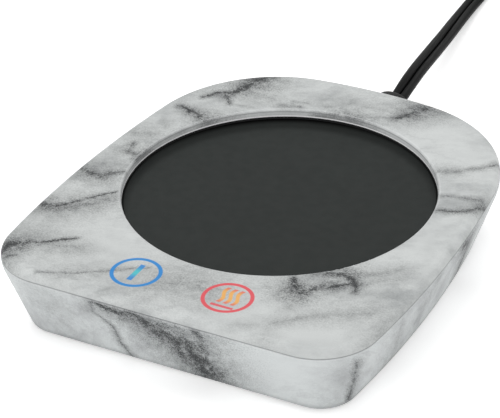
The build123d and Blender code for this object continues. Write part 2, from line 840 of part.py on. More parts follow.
def cord_face(x, y, z):
    """The flat cord's section, looking along Y."""
    return Plane((x, y, z), x_dir=(1, 0, 0), z_dir=(0, 1, 0)) * SlotOverall(CORD_WIDE, CORD_THICK)


def flat_tube(points):
    """The flat cord along a route, its width kept level."""
    radii = cord_radii(points)
    print("cord radii", [round(r) for r in radii])
    path = FilletPolyline(*points, radius=radii)
    start = Plane(path @ 0, x_dir=(path % 0).cross(Vector(0, 0, 1)), z_dir=path % 0)
    section = start * SlotOverall(CORD_WIDE, CORD_THICK)
    solid = sweep(section, path=path)
    print("cord volume over section times length", solid.volume / (section.area * path.length))
    return solid


def cord_points():
    return [(x, y_boot + y, z) for x, y, z in CORD_ROUTE]


def coil_centre():
    x, y, _ = cord_points()[-1]
    return x + TURN_R, y + COIL_ENTRY


def cord_coil():
    """The outer shape of the put-away turns: a flat ring that the cord runs into."""
    x, y = coil_centre()
    outer = TURN_R + CORD_WIDE / 2 + COIL_SLACK
    inner = TURN_R - TURNS_PER_LAYER * TURN_PITCH - CORD_WIDE / 2 - COIL_SLACK
    height = z_coil + CORD_THICK / 2
    bundle = post(x, y, outer, 0, height) - post(x, y, inner, 0, height)
    bundle = chamfer(bundle.edges().filter_by(GeomType.CIRCLE), COIL_CORNER)
    comes_in = extrude(cord_face(*cord_points()[-1]), COIL_ENTRY)
    goes_out = extrude(cord_face(x + TURN_R, y - COIL_ENTRY, z_coil), COIL_ENTRY)
    return bundle + comes_in + goes_out


def power_cord():
    return flat_tube(cord_points())


def plug_rear():
    """The middle of the plug's back end, on the cord's line."""
    x, y = coil_centre()
    return x + TURN_R, y - COIL_ENTRY - PLUG_LEAD, PLUG_THICK / 2


def plug_lead():
    """The last short stretch of cord, from the coil's top layer to the plug."""
    x, y, z = plug_rear()
    return loft([cord_face(x, y, z), cord_face(x, y + PLUG_LEAD, z_coil)], ruled=True)


def plug_body():
    x, y, z = plug_rear()
    along = Plane((x, y, z), x_dir=(-1, 0, 0), z_dir=(0, -1, 0))
    neck = RectangleRounded(PLUG_NECK_WIDE, PLUG_NECK_THICK, PLUG_ROUND)
    face = RectangleRounded(PLUG_WIDE, PLUG_THICK, PLUG_ROUND)
    rear = loft([along * neck, along.offset(PLUG_NECK_LONG) * face])
    front = extrude(along.offset(PLUG_NECK_LONG) * face, PLUG_LONG - PLUG_NECK_LONG)
    body = rear + front
    return chamfer(body.edges().group_by(Axis.Y)[0], PLUG_CORNER)


def plug_blades():
    x, y, z = plug_rear()
    blades = []
    for side in (-1, 1):
        blade = block(
            x + side * BLADE_SPACING / 2,
            y - PLUG_LONG - BLADE_LONG / 2,
            BLADE_THICK,
            BLADE_LONG,
            z - BLADE_WIDE / 2,
            z + BLADE_WIDE / 2,
        )
        tip = blade.edges().group_by(Axis.Y)[0].filter_by(Axis.X)
        blades.append(chamfer(tip, BLADE_TIP))
    return blades


# One STEP file for each piece, or each group of like pieces

PIECES = {
    "top_cover": top_cover,
    "lower_case": lower_case,
    "case_screws": case_screws,
    "rubber_feet": rubber_feet,
    "heating_plate": heating_plate,
    "plate_gasket": plate_gasket,
    "heating_element": heating_element,
    "insulation_pad": insulation_pad,
    "pressure_plate": pressure_plate,
    "plate_studs": plate_studs,
    "plate_nuts": plate_nuts,
    "temperature_sensor": temperature_sensor,
    "thermal_fuse": thermal_fuse,
    "fuse_clip": fuse_clip,
    "heater_lugs": heater_lugs,
    "retainer_ring": retainer_ring,
    "retainer_screws": retainer_screws,
    "heat_shield": heat_shield,
    "control_board": control_board,
    "board_screws": board_screws,
    "touch_contacts": touch_contacts,
    "indicator_leds": indicator_leds,
    "mains_terminal": lambda: wire_terminal(-1),
    "heater_terminal": lambda: wire_terminal(1),
    "board_fuse": board_fuse,
    "film_capacitor": film_capacitor,
    "electrolytic_capacitor": electrolytic_capacitor,
    "triac": triac,
    "touch_chip": touch_chip,
    "strain_relief": strain_relief,
    "inner_cord": inner_cord,
    "cord_clamp": cord_clamp,
    "clamp_screws": clamp_screws,
    "mains_wires": mains_wires,
    "heater_wires": heater_wires,
    "sensor_wires": sensor_wires,
    "power_cord": power_cord,
    "cord_coil": cord_coil,
    "plug_lead": plug_lead,
    "plug_body": plug_body,
    "plug_blades": plug_blades,
}

os.makedirs("parts", exist_ok=True)
for name, make in PIECES.items():
    made = make()
    solids = made if isinstance(made, list) else [made]
    solids = [solid for piece in solids for solid in piece.solids()]
    shape = solids[0] if len(solids) == 1 else Compound(children=solids)
    export_step(shape, f"parts/{name}.step")
    print(name, len(solids), round(shape.volume))
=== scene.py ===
import math
import bmesh
import bpy
from mathutils import Euler, Matrix, Vector


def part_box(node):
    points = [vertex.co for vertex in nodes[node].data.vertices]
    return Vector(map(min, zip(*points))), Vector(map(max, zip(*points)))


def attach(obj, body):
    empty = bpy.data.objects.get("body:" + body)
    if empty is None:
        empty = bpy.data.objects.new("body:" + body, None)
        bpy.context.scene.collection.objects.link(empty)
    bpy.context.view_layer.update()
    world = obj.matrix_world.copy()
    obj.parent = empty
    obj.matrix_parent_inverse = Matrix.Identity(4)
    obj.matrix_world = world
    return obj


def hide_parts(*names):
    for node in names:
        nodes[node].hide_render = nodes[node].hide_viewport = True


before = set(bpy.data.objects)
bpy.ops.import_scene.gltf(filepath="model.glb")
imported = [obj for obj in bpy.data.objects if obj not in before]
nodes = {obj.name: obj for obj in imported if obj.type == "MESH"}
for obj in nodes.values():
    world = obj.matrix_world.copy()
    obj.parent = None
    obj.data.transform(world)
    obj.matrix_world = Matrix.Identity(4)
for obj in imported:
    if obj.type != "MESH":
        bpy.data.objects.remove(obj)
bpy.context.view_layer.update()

mm = 0.001
bpy.ops.object.select_all(action="DESELECT")


# small helpers for shader trees


def startMaterial(name):
    material = bpy.data.materials.new(name)
    material.use_nodes = True
    tree = material.node_tree
    return material, tree, tree.nodes["Principled BSDF"]


def addNode(tree, kind, inputs=None, **settings):
    made = tree.nodes.new("ShaderNode" + kind)
    for name, value in settings.items():
        setattr(made, name, value)
    for key, value in (inputs or {}).items():
        feed(tree, made.inputs[key], value)
    return made


def feed(tree, socket, value):
    if isinstance(value, bpy.types.NodeSocket):
        tree.links.new(value, socket)
    else:
        socket.default_value = value


def number(tree, operation, first, second=0.0, third=0.0):
    return addNode(tree, "Math", {0: first, 1: second, 2: third}, operation=operation).outputs[0]


def vector(tree, operation, first, second=(0, 0, 0)):
    made = addNode(tree, "VectorMath", {0: first, 1: second}, operation=operation)
    return made.outputs["Value" if operation in ("LENGTH", "DISTANCE", "DOT_PRODUCT") else "Vector"]


def scaled(tree, point, factor):
    return addNode(tree, "VectorMath", {0: point, "Scale": factor}, operation="SCALE").outputs[0]


def noise(tree, point, scale, detail=2.0, rough=0.5, output="Fac"):
    inputs = {"Vector": point, "Scale": scale, "Detail": detail, "Roughness": rough}
    return addNode(tree, "TexNoise", inputs).outputs[output]


def span(tree, value, low, high, start=0.0, end=1.0):  # a smooth step between two values
    inputs = {"Value": value, "From Min": low, "From Max": high, "To Min": start, "To Max": end}
    return addNode(tree, "MapRange", inputs, interpolation_type="SMOOTHSTEP").outputs["Result"]


def spread(tree, value, start=0.0, end=1.0):  # noise keeps near a half, and this draws it out
    return span(tree, value, 0.3, 0.7, start, end)


def blend(tree, factor, first, second):
    return addNode(tree, "Mix", {0: factor, 6: first, 7: second}, data_type="RGBA").outputs[2]


def addBump(tree, shader, height, depth):
    made = addNode(tree, "Bump", {"Height": height, "Distance": depth})
    tree.links.new(made.outputs["Normal"], shader.inputs["Normal"])


def rgb(red, green, blue):
    return (*[((c / 255 + 0.055) / 1.055) ** 2.4 for c in (red, green, blue)], 1.0)


def inMillimetres(tree):
    place = addNode(tree, "TexCoord").outputs["Object"]
    return scaled(tree, place, 1 / mm)


def split(tree, place):
    parts = addNode(tree, "SeparateXYZ", {0: place}).outputs
    return parts["X"], parts["Y"], parts["Z"]


def inPlan(tree, x, y):  # the place straight below, at height 0
    return addNode(tree, "CombineXYZ", {0: x, 1: y}).outputs[0]


# camera, floor and lights

view = {
    "azimuth": 29.508,
    "elevation": 31.672,
    "roll": -1.777,
    "distance": 0.9142,
    "lookAt": (-0.0044, -0.0069, 0.0229),
    "lens": 226.9,
    "sensor": 36.0,
}


def addCamera():
    turn = Euler((math.radians(90 - view["elevation"]), 0, math.radians(view["azimuth"]))).to_matrix()
    turn = turn @ Matrix.Rotation(math.radians(view["roll"]), 3, "Z")
    data = bpy.data.cameras.new("studioCamera")
    data.lens = view["lens"]
    data.sensor_width = view["sensor"]
    camera = bpy.data.objects.new("studioCamera", data)
    bpy.context.scene.collection.objects.link(camera)
    place = Vector(view["lookAt"]) + turn @ Vector((0, 0, view["distance"]))
    camera.matrix_world = Matrix.Translation(place) @ turn.to_4x4()
    bpy.context.scene.camera = camera


studio = {
    "floorSize": 8.0,
    "floorGrey": 0.80,
    "floorLift": 0.40,  # white that the eye sees on the floor besides the light that falls there
    "worldGrey": 0.58,
    "lamps": (  # name, place, size, watts
        ("overheadLamp", (-0.3, 0.5, 1.5), 1.4, 9.0),
        ("frontLamp", (-0.5, -1.7, 0.5), 1.2, 11.0),
        ("rightLamp", (1.7, -0.3, 0.5), 1.2, 6.0),
    ),
}


def seenDirectly(tree):  # 1 where the eye, a gloss or a clear piece sees it, 0 for the light it sheds
    path = addNode(tree, "LightPath").outputs
    seen = number(tree, "MAXIMUM", path["Is Camera Ray"], path["Is Glossy Ray"])
    return number(tree, "MAXIMUM", seen, path["Is Transmission Ray"])


def addFloor():
    bpy.ops.mesh.primitive_plane_add(size=studio["floorSize"])
    floor = bpy.context.object
    floor.name = "studioFloor"
    material, tree, shader = startMaterial("studioPaper")
    grey = (*[studio["floorGrey"]] * 3, 1)
    seen = seenDirectly(tree)
    tree.links.new(blend(tree, seen, grey, (1, 1, 1, 1)), shader.inputs["Base Color"])
    shader.inputs["Emission Color"].default_value = (1, 1, 1, 1)
    lift = number(tree, "MULTIPLY", seen, studio["floorLift"])
    tree.links.new(lift, shader.inputs["Emission Strength"])
    shader.inputs["Roughness"].default_value = 1.0
    shader.inputs["Specular IOR Level"].default_value = 0.0
    floor.data.materials.append(material)


def addLights():
    for name, place, size, watts in studio["lamps"]:
        data = bpy.data.lights.new(name, "AREA")
        data.size = size
        data.energy = watts
        lamp = bpy.data.objects.new(name, data)
        bpy.context.scene.collection.objects.link(lamp)
        lamp.location = place
        lamp.rotation_euler = (-Vector(place)).to_track_quat("-Z", "Y").to_euler()
    world = bpy.data.worlds.new("studioRoom")
    bpy.context.scene.world = world
    world.use_nodes = True
    tree = world.node_tree
    grey = (*[studio["worldGrey"]] * 3, 1)
    colour = blend(tree, seenDirectly(tree), grey, (1, 1, 1, 1))
    tree.links.new(colour, tree.nodes["Background"].inputs["Color"])
    bpy.context.scene.view_settings.view_transform = "Standard"


addCamera()
addFloor()
addLights()
print("studio ready")


# mains cord, with its put-away length in a flat coil

cord = {
    "width": 5.4 * mm,
    "lobe": 1.36 * mm,  # radius of each of the two round cores
    "apart": 1.34 * mm,  # each core from the middle
    "groove": 0.22 * mm,  # half the thickness between the cores
    "sides": 12,  # flats round each core
    "twist": -26.0,  # degrees that the flat cord rolls by between the boot and the floor
    "twisted": (0.001, 0.016, 0.050, 0.090),  # where the roll starts, is full, starts to go, is gone
    "inBoot": (0.0, 0.0787, 0.0154),
    "exit": (0.0, 0.0802, 0.0154),
    "route": (
        (-0.0017, 0.0910, 0.0153),
        (-0.0039, 0.1030, 0.0140),
        (-0.0070, 0.1190, 0.0110),
        (-0.0109, 0.1380, 0.0071),
        (-0.0148, 0.1570, 0.0037),
        (-0.0176, 0.1760, 0.00145),
        (-0.0178, 0.1970, 0.00145),
    ),
    "coilMiddle": (0.0188, 0.2180),
    "outerTurn": 36.5 * mm,
    "innerTurn": 21.65 * mm,
    "turns": 5.5,
    "climb": 0.18,  # turn in which it rises to the upper layer
    "perTurn": 18,
    "lower": 1.45 * mm,
    "upper": 4.4 * mm,
    "straightEnd": (0.0553, 0.1970, 0.0044),
    "plugRear": (0.0553, 0.1830, 0.0075),
    "inPlug": (0.0553, 0.1812, 0.0075),
}


def clamped(value):
    return min(max(value, 0), 1)


def cordPoints():
    points = [cord["inBoot"], cord["exit"], *cord["route"]]
    layer = (cord["turns"] - cord["climb"]) / 2
    x, y = cord["coilMiddle"]
    for step in range(round(cord["turns"] * cord["perTurn"]) + 1):
        turn = step / cord["perTurn"]
        inward = min(turn / layer, 1) - max((turn - layer - cord["climb"]) / layer, 0)
        radius = cord["outerTurn"] + (cord["innerTurn"] - cord["outerTurn"]) * inward
        z = cord["lower"] + (cord["upper"] - cord["lower"]) * clamped((turn - layer) / cord["climb"])
        angle = math.pi - math.tau * turn
        points.append((x + radius * math.cos(angle), y + radius * math.sin(angle), z))
    return points + [cord["straightEnd"], cord["plugRear"], cord["inPlug"]]


def splineThrough(name, points):  # a smooth line with these as its control points, read back as places
    data = bpy.data.curves.new(name, "CURVE")
    data.dimensions = "3D"
    data.resolution_u = 6
    spline = data.splines.new("NURBS")
    spline.points.add(len(points) - 1)
    for made, point in zip(spline.points, points):
        made.co = (*point, 1)
    spline.order_u = 3
    spline.use_endpoint_u = True
    curve = bpy.data.objects.new(name, data)
    bpy.context.scene.collection.objects.link(curve)
    bpy.context.view_layer.update()
    line = bpy.data.meshes.new_from_object(curve.evaluated_get(bpy.context.evaluated_depsgraph_get()))
    places = [vertex.co.copy() for vertex in line.vertices]
    bpy.data.objects.remove(curve)
    bpy.data.meshes.remove(line)
    return places


def twinSection():  # outline across the cord: two round cores joined by a thinner web
    stop = math.pi - math.asin(cord["groove"] / cord["lobe"])
    sides = cord["sides"]
    arc = [stop * (2 * i / sides - 1) for i in range(sides + 1)]
    right = [(cord["apart"] + cord["lobe"] * math.cos(a), cord["lobe"] * math.sin(a)) for a in arc]
    return right + [(-x, -z) for x, z in right]


def rollAt(run):  # how far the section has rolled round the line, in radians
    start, full, leaving, gone = cord["twisted"]
    share = clamped((run - start) / (full - start)) - clamped((run - leaving) / (gone - leaving))
    return math.radians(cord["twist"]) * share * share * (3 - 2 * share)


def tubeAlong(name, line, section):
    made = bmesh.new()
    uv = made.loops.layers.uv.new("alongAndRound")
    rings = []
    run = 0.0
    runs = []
    for index, place in enumerate(line):
        ahead = (line[min(index + 1, len(line) - 1)] - line[max(index - 1, 0)]).normalized()
        run += (place - line[max(index - 1, 0)]).length
        runs.append(run)
        side = ahead.cross(Vector((0, 0, 1))).normalized()
        side.rotate(Matrix.Rotation(-rollAt(run), 3, ahead))
        up = side.cross(ahead)
        rings.append([made.verts.new(place + side * x + up * z) for x, z in section])
    count = len(section)
    for index, (first, second) in enumerate(zip(rings, rings[1:])):
        for k in range(count):
            corners = (first[k], first[(k + 1) % count], second[(k + 1) % count], second[k])
            face = made.faces.new(corners)
            face.smooth = True
            spots = ((index, k), (index, k + 1), (index + 1, k + 1), (index + 1, k))
            for loop, (along, around) in zip(face.loops, spots):
                loop[uv].uv = (runs[along], around / count)
    made.faces.new(rings[0][::-1])
    made.faces.new(rings[-1])
    bmesh.ops.recalc_face_normals(made, faces=made.faces)
    data = bpy.data.meshes.new(name)
    made.to_mesh(data)
    made.free()
    tube = bpy.data.objects.new(name, data)
    bpy.context.scene.collection.objects.link(tube)
    return tube


def addCord():
    line = splineThrough("cordLine", cordPoints())
    tube = tubeAlong("mainsCord", line, twinSection())
    length = sum((b - a).length for a, b in zip(line, line[1:]))
    print(f"cord length {length:.3f} m in {len(line)} rings")
    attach(tube, "root")
    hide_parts("power_cord", "cord_coil", "plug_lead")
    return tube


# pieces on the cord: the swollen end of its boot, the strap round the coil, and the plug

collar = {
    "place": (-0.0012, 0.0786, 0.0153),
    "radius": 5.15 * mm,
    "height": 0.62,  # of its width
    "depth": 4.4 * mm,
    "round": 1.3 * mm,
}
strap = {
    "turn": 250.0,  # degrees round the coil
    "middle": 29.1 * mm,  # from the coil's middle
    "across": 21.4 * mm,
    "wide": 8.0 * mm,
    "tall": 6.1 * mm,
    "gap": 0.05 * mm,  # off the table
    "thick": 0.5 * mm,
    "round": 1.9 * mm,
    "flap": 12.0 * mm,
    "flapRound": 2.4 * mm,
}
plug = {
    "rear": cord["plugRear"],
    "long": 30.0 * mm,
    "wide": 24.0 * mm,
    "thick": 15.0 * mm,
    "body": 15.0 * mm,  # length before it tapers
    "taper": 6.5 * mm,
    "neck": (9.6 * mm, 7.0 * mm),
    "rings": 5,
    "waist": 0.80,  # of the neck, in the grooves between its rings
    "thinning": 0.96,  # of each ring against the one before it
    "round": 2.0 * mm,
    "grip": (2.6 * mm, 0.7 * mm),  # from the edge of the side, and how deep it is sunk
}


def pickNone(kind):
    bpy.ops.object.mode_set(mode="EDIT")
    bpy.ops.mesh.select_mode(type=kind)
    bpy.ops.mesh.select_all(action="DESELECT")
    bpy.ops.object.mode_set(mode="OBJECT")


def pickFaces(piece, wanted):  # leaves the piece in edit mode with only those faces picked
    pickNone("FACE")
    for face in piece.data.polygons:
        face.select = wanted(face)
    bpy.ops.object.mode_set(mode="EDIT")


def pickEdges(piece, wanted):
    pickNone("EDGE")
    for edge in piece.data.edges:
        edge.select = wanted([piece.data.vertices[index].co for index in edge.vertices])
    bpy.ops.object.mode_set(mode="EDIT")


def addBlock(name, size, place, turn=0.0):  # its size goes into its mesh, its place and turn don't yet
    bpy.ops.mesh.primitive_cube_add(size=1, location=place, rotation=(0, 0, turn))
    block = bpy.context.object
    block.name = name
    block.scale = size
    bpy.ops.object.transform_apply(location=False, rotation=False, scale=True)
    return block


def settle(piece):  # place and turn go into the mesh
    bpy.ops.object.select_all(action="DESELECT")
    piece.select_set(True)
    bpy.context.view_layer.objects.active = piece
    bpy.ops.object.transform_apply(location=True, rotation=True, scale=True)
    bpy.ops.object.shade_smooth_by_angle(angle=math.radians(35))
    piece.select_set(False)


def addCollar():
    bpy.ops.mesh.primitive_cylinder_add(
        vertices=48,
        radius=collar["radius"],
        depth=collar["depth"],
        location=collar["place"],
        rotation=(math.radians(90), 0, 0),
    )
    piece = bpy.context.object
    piece.name = "bootCollar"
    piece.scale = (1, collar["height"], 1)
    bpy.ops.object.transform_apply(location=False, rotation=False, scale=True)
    pickFaces(piece, lambda face: abs(face.normal.z) > 0.9)
    bpy.ops.mesh.region_to_loop()
    bpy.ops.mesh.bevel(offset=collar["round"], segments=4, profile=0.5, affect="EDGES")
    bpy.ops.object.mode_set(mode="OBJECT")
    settle(piece)
    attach(piece, "root")
    return piece


def addStrap():  # a band round the coil's section, its end folded over on top
    turn = math.radians(strap["turn"])
    x = cord["coilMiddle"][0] + strap["middle"] * math.cos(turn)
    y = cord["coilMiddle"][1] + strap["middle"] * math.sin(turn)
    place = (x, y, strap["tall"] / 2 + strap["gap"])
    band = addBlock("coilStrap", (strap["across"], strap["wide"], strap["tall"]), place, turn)
    pickFaces(band, lambda face: abs(face.normal.y) > 0.9)
    bpy.ops.mesh.delete(type="FACE")
    pickEdges(band, lambda ends: abs(ends[0].y - ends[1].y) > strap["wide"] / 2)
    bpy.ops.mesh.bevel(offset=strap["round"], segments=5, affect="EDGES")
    bpy.ops.object.mode_set(mode="OBJECT")
    shell = band.modifiers.new("thickness", "SOLIDIFY")
    shell.thickness = strap["thick"]
    shell.offset = -1
    bpy.ops.object.modifier_apply(modifier="thickness")
    settle(band)
    place = (x, y, strap["tall"] + strap["thick"] / 2 + strap["gap"])
    flap = addBlock("strapFlap", (strap["flap"], strap["wide"], strap["thick"]), place, turn)
    pickEdges(flap, lambda ends: min(end.x for end in ends) > 0 and ends[0].z * ends[1].z < 0)
    bpy.ops.mesh.bevel(offset=strap["flapRound"], segments=5, affect="EDGES")
    bpy.ops.object.mode_set(mode="OBJECT")
    settle(flap)
    band.select_set(True)
    flap.select_set(True)
    bpy.context.view_layer.objects.active = band
    bpy.ops.object.join()
    band.select_set(False)
    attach(band, "root")
    return band


def addPlug():  # body with sunken grips, a taper, and a ringed neck
    x, y, z = plug["rear"]
    place = (x, y - plug["long"] + plug["body"] / 2, z)
    shell = addBlock("plugShell", (plug["wide"], plug["body"], plug["thick"]), place)
    pickFaces(shell, lambda face: abs(face.normal.x) > 0.9)
    bpy.ops.mesh.inset(thickness=plug["grip"][0], depth=-plug["grip"][1], use_individual=True)
    back = plug["body"] / 2
    pickFaces(shell, lambda face: face.normal.y > 0.9 and face.center.y > back * 0.9)
    neckWide, neckTall = plug["neck"]
    bpy.ops.mesh.extrude_region_move(TRANSFORM_OT_translate={"value": (0, plug["taper"], 0)})
    bpy.ops.transform.resize(value=(neckWide / plug["wide"], 1, neckTall / plug["thick"]))
    step = (plug["long"] - plug["body"] - plug["taper"]) / (plug["rings"] * 2 - 1)
    slim = plug["waist"]
    wider = plug["thinning"] / slim
    for ring in range(plug["rings"]):
        bpy.ops.mesh.extrude_region_move(TRANSFORM_OT_translate={"value": (0, step, 0)})
        if ring < plug["rings"] - 1:
            bpy.ops.mesh.extrude_region_move()
            bpy.ops.transform.resize(value=(slim, 1, slim))
            bpy.ops.mesh.extrude_region_move(TRANSFORM_OT_translate={"value": (0, step, 0)})
            bpy.ops.mesh.extrude_region_move()
            bpy.ops.transform.resize(value=(wider, 1, wider))
    outer = plug["wide"] / 2 - plug["grip"][1] / 2

    def onBody(ends):  # the edges of the body, apart from those of its sunken grips
        return max(end.y for end in ends) < back * 1.05 and max(abs(end.x) for end in ends) > outer

    pickEdges(shell, onBody)
    bpy.ops.mesh.bevel(offset=plug["round"], segments=4, profile=0.5, affect="EDGES")
    bpy.ops.object.mode_set(mode="OBJECT")
    settle(shell)
    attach(shell, "root")
    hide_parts("plug_body")
    return shell


bootCollar = addCollar()
coilStrap = addStrap()
plugShell = addPlug()
print("collar, strap and plug made")
mainsCord = addCord()
print("cord laid")


# marble print of the cover and the case

casing = {  # mm
    "seam": 22.8,
    "plateTop": 22.6,
    "recessRadius": 46.2,
    "recessY": 3.1,
}
# lines and bands of painted light and shade along the casing's edges, and where its print starts and folds
edges = {  # from and to in mm, then the strength
    "seamLine": (0.12, 0.28, 0.60),  # above the seam, painted shade of the seam's groove
    "recessWall": (0.05, 0.20, 0.32),  # outside the recess, where the painted light on its wall ends
    "recessLip": (0.25, 0.75, 0.25),  # outside the recess, painted highlight on its lip
    "recessTop": (-0.95, -0.60, 0.55),  # under the cover's top, painted shade along the top of the recess wall
    "recessFoot": (0.8, 1.0),  # above the plate, where the painted highlight along the wall's foot ends
    "caseLit": (-0.62, -0.20, 0.20),  # under the seam, painted highlight
    "caseLine": (-0.20, -0.08, 0.65),  # under the seam, painted shade of the seam's groove
    "caseFoot": (0.6, 2.6, 0.30),  # above the case's foot, painted shade near the floor
    "caseBare": (0.05, 0.25),  # above the case's foot, where the print starts
    "fold": (1.0, 1.2),  # outside the recess, where the fold of the print turns over
}
marble = {
    "white": rgb(211, 214, 213),
    "shade": rgb(148, 151, 152),
    "wallWhite": rgb(219, 223, 223),
    "wallShade": rgb(156, 157, 160),
    "vein": rgb(54, 56, 57),
    "paintedLight": rgb(238, 240, 241),  # painted light: the lit wall of the recess, and highlights on its lip and under the seam
    "bright": rgb(250, 250, 251),  # painted highlight along the foot of that wall
    # painted shade along the seam, the top of the recess wall and the case's foot
    "edge": rgb(96, 98, 100),
    "plain": rgb(206, 208, 207),  # unprinted underside
    "wander": ((0.07, 0.8, 2.0), (0.35, 1.0, 5.0), (2.6, 0.32, 1.0)),  # waves per mm, reach in mm, detail
    "grain": (1.9, 3.0, 0.8),  # grains per mm, detail, roughness
    "grainShade": 0.34,
    "spray": 0.9,  # how much fine grain breaks up a stroke's edge
    "breaks": (0.32, 6.0, 0.8),
    "broken": (0.30, 0.62, 0.45, 1.2),  # where these thin and thicken the veins, and by how much
    "breadth": 1.4,  # of every stroke
    "core": 0.5,  # widths to the edge of its dark core
    "coreShade": 0.2,  # by which the core is darker
    "fade": 3.0,  # widths from a stroke's middle to where it has faded out
    "falloff": (0.35, 0.55),  # a stroke's shade as it fades, and what it gains towards the middle
    "cloud": (34.0, 20.0, 0.62, 0.42, 0.72, 0.60),  # long, wide, roughness, noise from and to, shade
    "mottle": (6.0, 4.2, 0.75, 0.38, 0.72, 0.30),
    "hair": (30.0, 14.0, 0.6),
    "hairOffset": (90, 40, 0),
    "hairWidth": 0.03,
    "hairShade": 0.20,
    "clearest": 0.85,  # most that a pale place takes off the shade
    "lie": 24.0,  # the print's own run, degrees from across
    "rimTurn": 1.0,  # print's run down a wall, for each mm of height
    "wallTurn": 1.45,
    "roughness": (0.42, 0.54),
    "sheen": 0.18,
    "texture": 0.008 * mm,
}

# A stroke is its darkness, then points as x, y and half-width in mm on the print laid out flat,
# where an outer wall's print continues past the edge above it, and the recess wall's runs inwards.
coverStrokes = (
    (1.0, (-46.5, 40, 0.6), (-44.5, 43.5, 0.9), (-39.5, 46.5, 1.4), (-38, 50, 2.4), (-37, 55, 3.8),
     (-35.5, 59, 3.2)),
    (0.85, (-42, 45, 1.0), (-39.5, 43, 1.2), (-37, 40.5, 0.7)),
    (0.35, (-50, 46, 1.6), (-46, 51, 1.6), (-43, 56, 1.8)),
    (0.30, (-38, 43.5, 3.2), (-34, 46.5, 3.6), (-26, 48.5, 3.0)),
    (0.32, (-37.5, 40.5, 0.8), (-29.5, 41.5, 0.8)),
    (0.55, (-22, 46.5, 1.2), (-17, 48, 1.0)),
    (1.0, (-49.5, 32.5, 0.9), (-46.3, 31.4, 1.3), (-42.8, 30.4, 1.5), (-39, 29, 2.2), (-35.5, 27.8, 3.2)),
    (0.45, (-43.5, 33, 1.0), (-37, 33.5, 0.9)),
    (0.42, (-55, 12.5, 2.4), (-49.5, 13.5, 2.6)),
    (0.30, (-49, 21.5, 1.4), (-46, 18, 1.2)),
    (0.70, (-51, 7.5, 0.9), (-51.5, 5.5, 1.3), (-51, 2.5, 1.8), (-48, 1.5, 1.5), (-46, 2.5, 1.3)),
    (0.36, (-47.5, 6.5, 1.2), (-46.5, 9, 1.2)),
    (0.78, (-59, -12, 2.0), (-54, -13.5, 2.6), (-50.5, -13.5, 2.6), (-48.5, -11, 1.4), (-45.5, -9, 0.9)),
    (0.34, (-60, -8, 3.0), (-52, -8.5, 3.4), (-47, -5.5, 2.0)),
    (0.92, (-59.5, -34.5, 2.4), (-55, -34, 2.2), (-52, -32.5, 1.3), (-49, -28, 0.8), (-45, -23, 0.7),
     (-42, -19.5, 0.6)),
    (0.62, (-56, -36.5, 3.0), (-51.5, -34.5, 3.8), (-46.5, -29.5, 3.2), (-41.5, -23, 2.2)),
    (1.0, (-56.5, -60, 4.0), (-53, -56.5, 2.6), (-49.5, -54, 1.3), (-45, -51, 0.9), (-39, -46.5, 0.6)),
    (0.46, (-58, -53.5, 5.0), (-51, -52, 4.0), (-41, -52, 3.2), (-35, -50.5, 2.0)),
    (0.70, (-53, -63.5, 1.5), (-50, -61.5, 1.1)),
    (0.58, (-40, -66.5, 0.5), (-31, -63, 0.6), (-22, -56.7, 0.7), (-12.5, -50.5, 0.4)),
    (0.28, (-34, -64, 3.0), (-24, -58.5, 2.4)),
    (0.25, (-19, -66.5, 1.2), (-13.5, -62.5, 1.2), (-2, -60.5, 1.6)),
    (0.45, (-6, -56, 4.6), (1.5, -52, 5.2), (8, -53.5, 4.4)),
    (0.34, (-5, 55.5, 3.0), (7, 57, 3.2)),
    (1.0, (26.5, -37, 0.9), (27.5, -39.5, 1.3), (29.5, -42.5, 3.0), (31, -43.5, 2.6)),
    (0.95, (31.5, -42, 1.3), (35, -39, 1.6), (38.5, -36.5, 1.4), (41.5, -33.5, 0.8)),
    (0.60, (33.5, -40, 1.7), (35.5, -36, 1.8), (42, -31, 1.4)),
    (0.95, (31.5, -32, 1.2), (35.5, -29.5, 2.2), (39.5, -30, 2.6), (43, -32.5, 1.7), (44.5, -36, 0.8)),
    (0.42, (40, -28, 2.2), (44.5, -26.5, 2.0), (51, -21, 1.8)),
    (0.34, (42, -31.5, 2.0), (53, -25, 1.8)),
    (0.25, (30, -37, 6.0), (40, -36, 6.0)),
    (0.42, (31, -61, 1.5), (37, -54.5, 1.6), (44, -49.5, 2.2), (53, -44, 2.8)),
    (0.25, (31, -61, 1.8), (33, -69, 2.2)),
    (0.40, (31, -49, 1.4), (32, -51.5, 1.4)),
    (0.80, (46, 12, 0.6), (50.5, 13.5, 0.7), (54, 15.5, 0.9), (58, 21, 1.2), (61, 25, 1.6)),
    (0.60, (43.5, 20, 0.4), (48, 21, 0.5), (52.5, 22, 0.7), (57, 23, 1.2)),
    (0.45, (36.5, 31.5, 1.6), (42, 34, 1.4)),
    (0.62, (42, 34, 0.8), (45.5, 37, 0.7), (48.5, 40, 0.7), (52, 44.5, 0.8)),
    (0.88, (12.5, 54.5, 1.4), (14.5, 58, 2.6), (16.5, 61.5, 3.2), (19, 65.5, 3.4)),
    (0.50, (16, 56, 2.4), (21, 62, 2.4), (27, 66, 2.0)),
    (0.45, (-20, 50, 0.8), (-15, 51.5, 0.8)),
    (1.0, (-11, 46.3, 0.9), (-5, 47.4, 1.6), (-1, 47.2, 2.8), (2, 46.5, 2.8)),
    (0.95, (-46, -1, 1.0), (-45, 4, 1.8), (-44.5, 7, 1.4)),
    (0.45, (-46.5, 8, 0.8), (-44, 15, 1.4), (-41, 21, 1.2)),
    (0.50, (2, 50, 1.4), (5.5, 51.5, 0.8), (9, 53.5, 0.7), (14, 54, 0.8)),
    (0.34, (-10, 52, 2.0), (-3, 52.5, 2.4), (4, 52, 2.0)),
    (0.28, (23, -65.5, 1.6), (28.5, -62.5, 1.6)),
    (0.36, (-53, 45, 4.0), (-46, 53, 4.0), (-42, 60, 4.0)),
    (0.30, (57, -42, 3.4), (61, -52, 3.4)),
)
